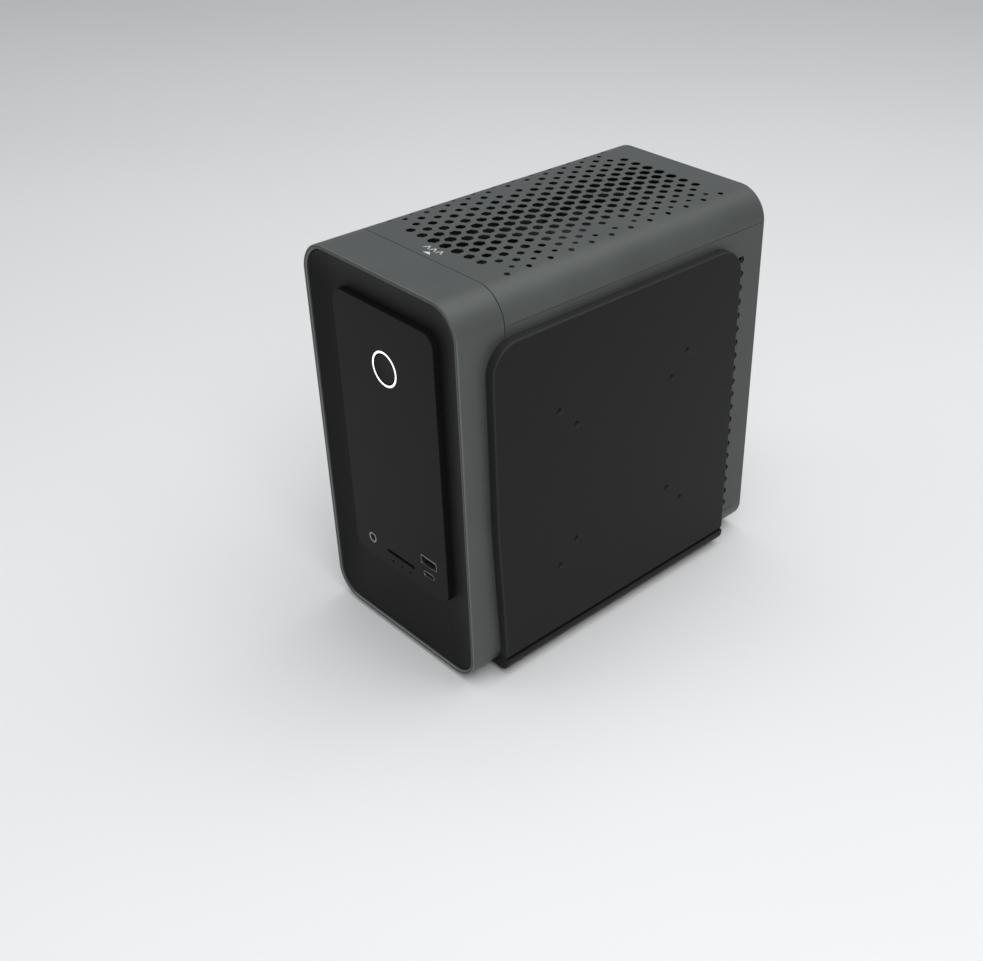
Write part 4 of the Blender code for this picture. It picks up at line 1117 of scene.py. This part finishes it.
def make_outlets(node, name, opening, tongue, contacts, across, zs=(), lean=0.0):
    """A connector with like openings, each with an upright tongue that may stand off its middle.

    across gives their places from the side towards its board, zs their heights if not the node's middle."""
    side = extent(node)[0].x
    places = [(side + away, z) for away in across for z in zs or [middle(node)[1]]]
    make_rear_block(node, name, [rounded_box(centre, opening, 0.0004) for centre in places])
    front, rear, pitch = OUTLET_FLOOR + 0.0001, 0.2215, tongue[1] / contacts
    half_x, half_z = tongue[0] / 2, tongue[1] / 2
    for i, (x, z) in enumerate(places, start=1):
        low, high = (x + lean - half_x, front, z - half_z), (x + lean + half_x, rear, z + half_z)
        names = (f"{name}_tongue_{i}", f"{name}_tongue_{i}_gilt")
        make_tongue(names, low, high, 2, contacts, pitch, 0.28 * pitch, (front, rear - 0.0008), 0.00008)


def make_rear_connectors():
    """The connectors up the main board and on the graphics card."""
    for i in (1, 2):
        sizes = ((0.0048, 0.0124), (0.0017, 0.0100), 4)
        make_outlets(f"usb_stack_{i}", f"usb_pair_{i}", *sizes, (0.0040, 0.0120))
    sizes = ((0.0100, 0.0118), (0.0008, 0.0090), 8)
    make_outlets("lan_port", "network_jack", *sizes, (0.0068,), lean=-0.0036)
    sizes = ((0.0048, 0.0142), (0.0012, 0.0100), 9)
    make_outlets("display_sockets", "display_pair", *sizes, (0.0034,), DISPLAY_OUTLET_ZS)
    sizes = ((0.0048, 0.0160), (0.0012, 0.0120), 10)
    make_outlets("graphics_outputs", "graphics_row", *sizes, (0.0033,), GRAPHICS_OUTLET_ZS)

    low, high = extent("audio_jacks")
    centres = [(low.x + 0.006 + i * 0.0115, middle("audio_jacks")[1]) for i in range(3)]
    make_rear_block("audio_jacks", "audio_block", [circle(centre, 0.0018, 32) for centre in centres])
    profile = collar(0.0019, 0.0034, high.y + 0.00005, high.y - 0.0004, 0.0002)
    for i, centre in enumerate(centres, start=1):
        turned_piece(f"audio_collar_{i}", "socket_metal", profile, centre, sides=48, slot="black_plastic")


def make_fan_guard():
    """Concentric wires on four spokes, just behind the rear panel's opening."""
    (x, z), y = POWER_FAN_CENTRE, 0.2214
    wire = circle((0, 0), 0.00045, 8)
    bm = bmesh.new()
    for radius in (0.0045, 0.0085, 0.0125, 0.0165):
        add_turned(bm, [(radius + a, y + b) for a, b in wire], (x, z), "Y", 72)
    for turn in DIAGONALS:
        side = Vector((-sin(turn), 0, cos(turn)))
        loops = []
        for reach in (0.0040, 0.0189):
            end = Vector((x + reach * cos(turn), y, z + reach * sin(turn)))
            loops.append([end + side * a + Vector((0, b, 0)) for a, b in wire])
        add_loft(bm, loops, False)
    piece(bm, "fan_guard", "zinc_steel")


def make_inlet_pins():
    x, z = middle("power_inlet")
    side, lift, front, rear = 0.007, 0.002, 0.2091, 0.2191
    bm = bmesh.new()
    for pin in ((x - side, z - lift), (x + side, z - lift), (x, z + lift)):
        add_prism(bm, [rounded_box(pin, (0.0021, 0.0041), 0.0004)], "Y", front, rear, high_edge=0.0004)
    piece(bm, "inlet_blades", "socket_metal", slot="black_plastic")


# Pieces that keep their CAD shape.

SOFT_EDGES = {
    0.0: ("chassis_frame", "riser_board", "power_switch", "cpu_heatsink"),
    0.0001: ("motherboard", "memory_1", "memory_2", "graphics_board", "front_io_board"),
    0.00015: ("io_shield",),
    0.0002: ("graphics_bracket", "fan_bracket"),
    0.0003: ("solid_state_drive",),
    0.0004: ("power_supply", "power_inlet"),
    0.0008: ("graphics_cooler",),
}
# The fan bracket under the top vents takes the dark rear paint so that the vents read dark: painted shade
# inside the case. The chassis frame takes the same paint.
DARK_INNER_FINISH = {"fan_bracket": "rear_paint", "chassis_frame": "rear_paint"}


def finish_cad_nodes():
    for width, names in SOFT_EDGES.items():
        for name in names:
            node = frame["nodes"][name]
            if width:
                soften(node, width)
            finish = DARK_INNER_FINISH.get(name, node.data.materials[0].name)
            node.data.materials[0] = FINISHES[finish]


# Studio.


def make_floor():
    half, steps = 4.0, 8
    bm = bmesh.new()
    bmesh.ops.create_grid(bm, x_segments=steps, y_segments=steps, size=half)
    mesh = to_mesh(bm, "floor")
    paint = Paint("pale_floor")
    cloud = paint.noise(1.5, 3.0)
    base = paint.mix(paint.spread(cloud, 0.0, 1.0), (0.80, 0.80, 0.80), (0.83, 0.83, 0.83))
    mesh.materials.append(paint.finish(Base_Color=base, Roughness=0.8, Specular_IOR_Level=0.1))
    put("floor", mesh)


def make_studio():
    """Square lamps that face the middle of the computer, and an even sky."""
    for name, location, side, power in (
        ("overhead", (0.20, 0.25, 1.5), 1.6, 15.0),
        ("right_front", (0.75, -0.45, 0.85), 0.6, 3.5),
        ("left_front", (-0.9, -1.1, 0.8), 0.8, 2.0),
    ):
        light = bpy.data.lights.new(name, "AREA")
        assign(light, shape="RECTANGLE", size=side, size_y=side, energy=power)
        aim = Vector((0, 0, 0.1)) - Vector(location)
        put(name, light, location, aim.to_track_quat("-Z", "Y").to_euler())
    world = bpy.data.worlds.new("studio")
    bpy.context.scene.world = world
    world.use_nodes = True
    sky = world.node_tree.nodes["Background"].inputs
    sky["Color"].default_value = (0.90, 0.92, 0.95, 1.0)
    sky["Strength"].default_value = 0.45


def make_camera():
    data = bpy.data.cameras.new("camera")
    assign(data, sensor_width=36.0, lens=47.317, shift_x=-0.12, clip_start=0.01, clip_end=20.0)
    turn = [radians(angle) for angle in (56.884, -0.964, 44.619)]
    bpy.context.scene.camera = put("camera", data, ORIGIN + Vector((0.49308, -0.34018, 0.49315)), turn)
    bpy.context.scene.view_settings.view_transform = "Standard"


FINISHES = make_finishes()
make_camera()
make_studio()
make_floor()
finish_cad_nodes()
make_front_band()
make_front_bezel()
make_front_panel()
make_power_control()
make_front_sockets()
make_top_cover()
make_cover_print()
make_bottom_cover()
make_side_panels()
make_side_plate()
make_rear_panel()
make_screws()
make_feet()
make_fans()
make_rear_connectors()
make_fan_guard()
make_inlet_pins()
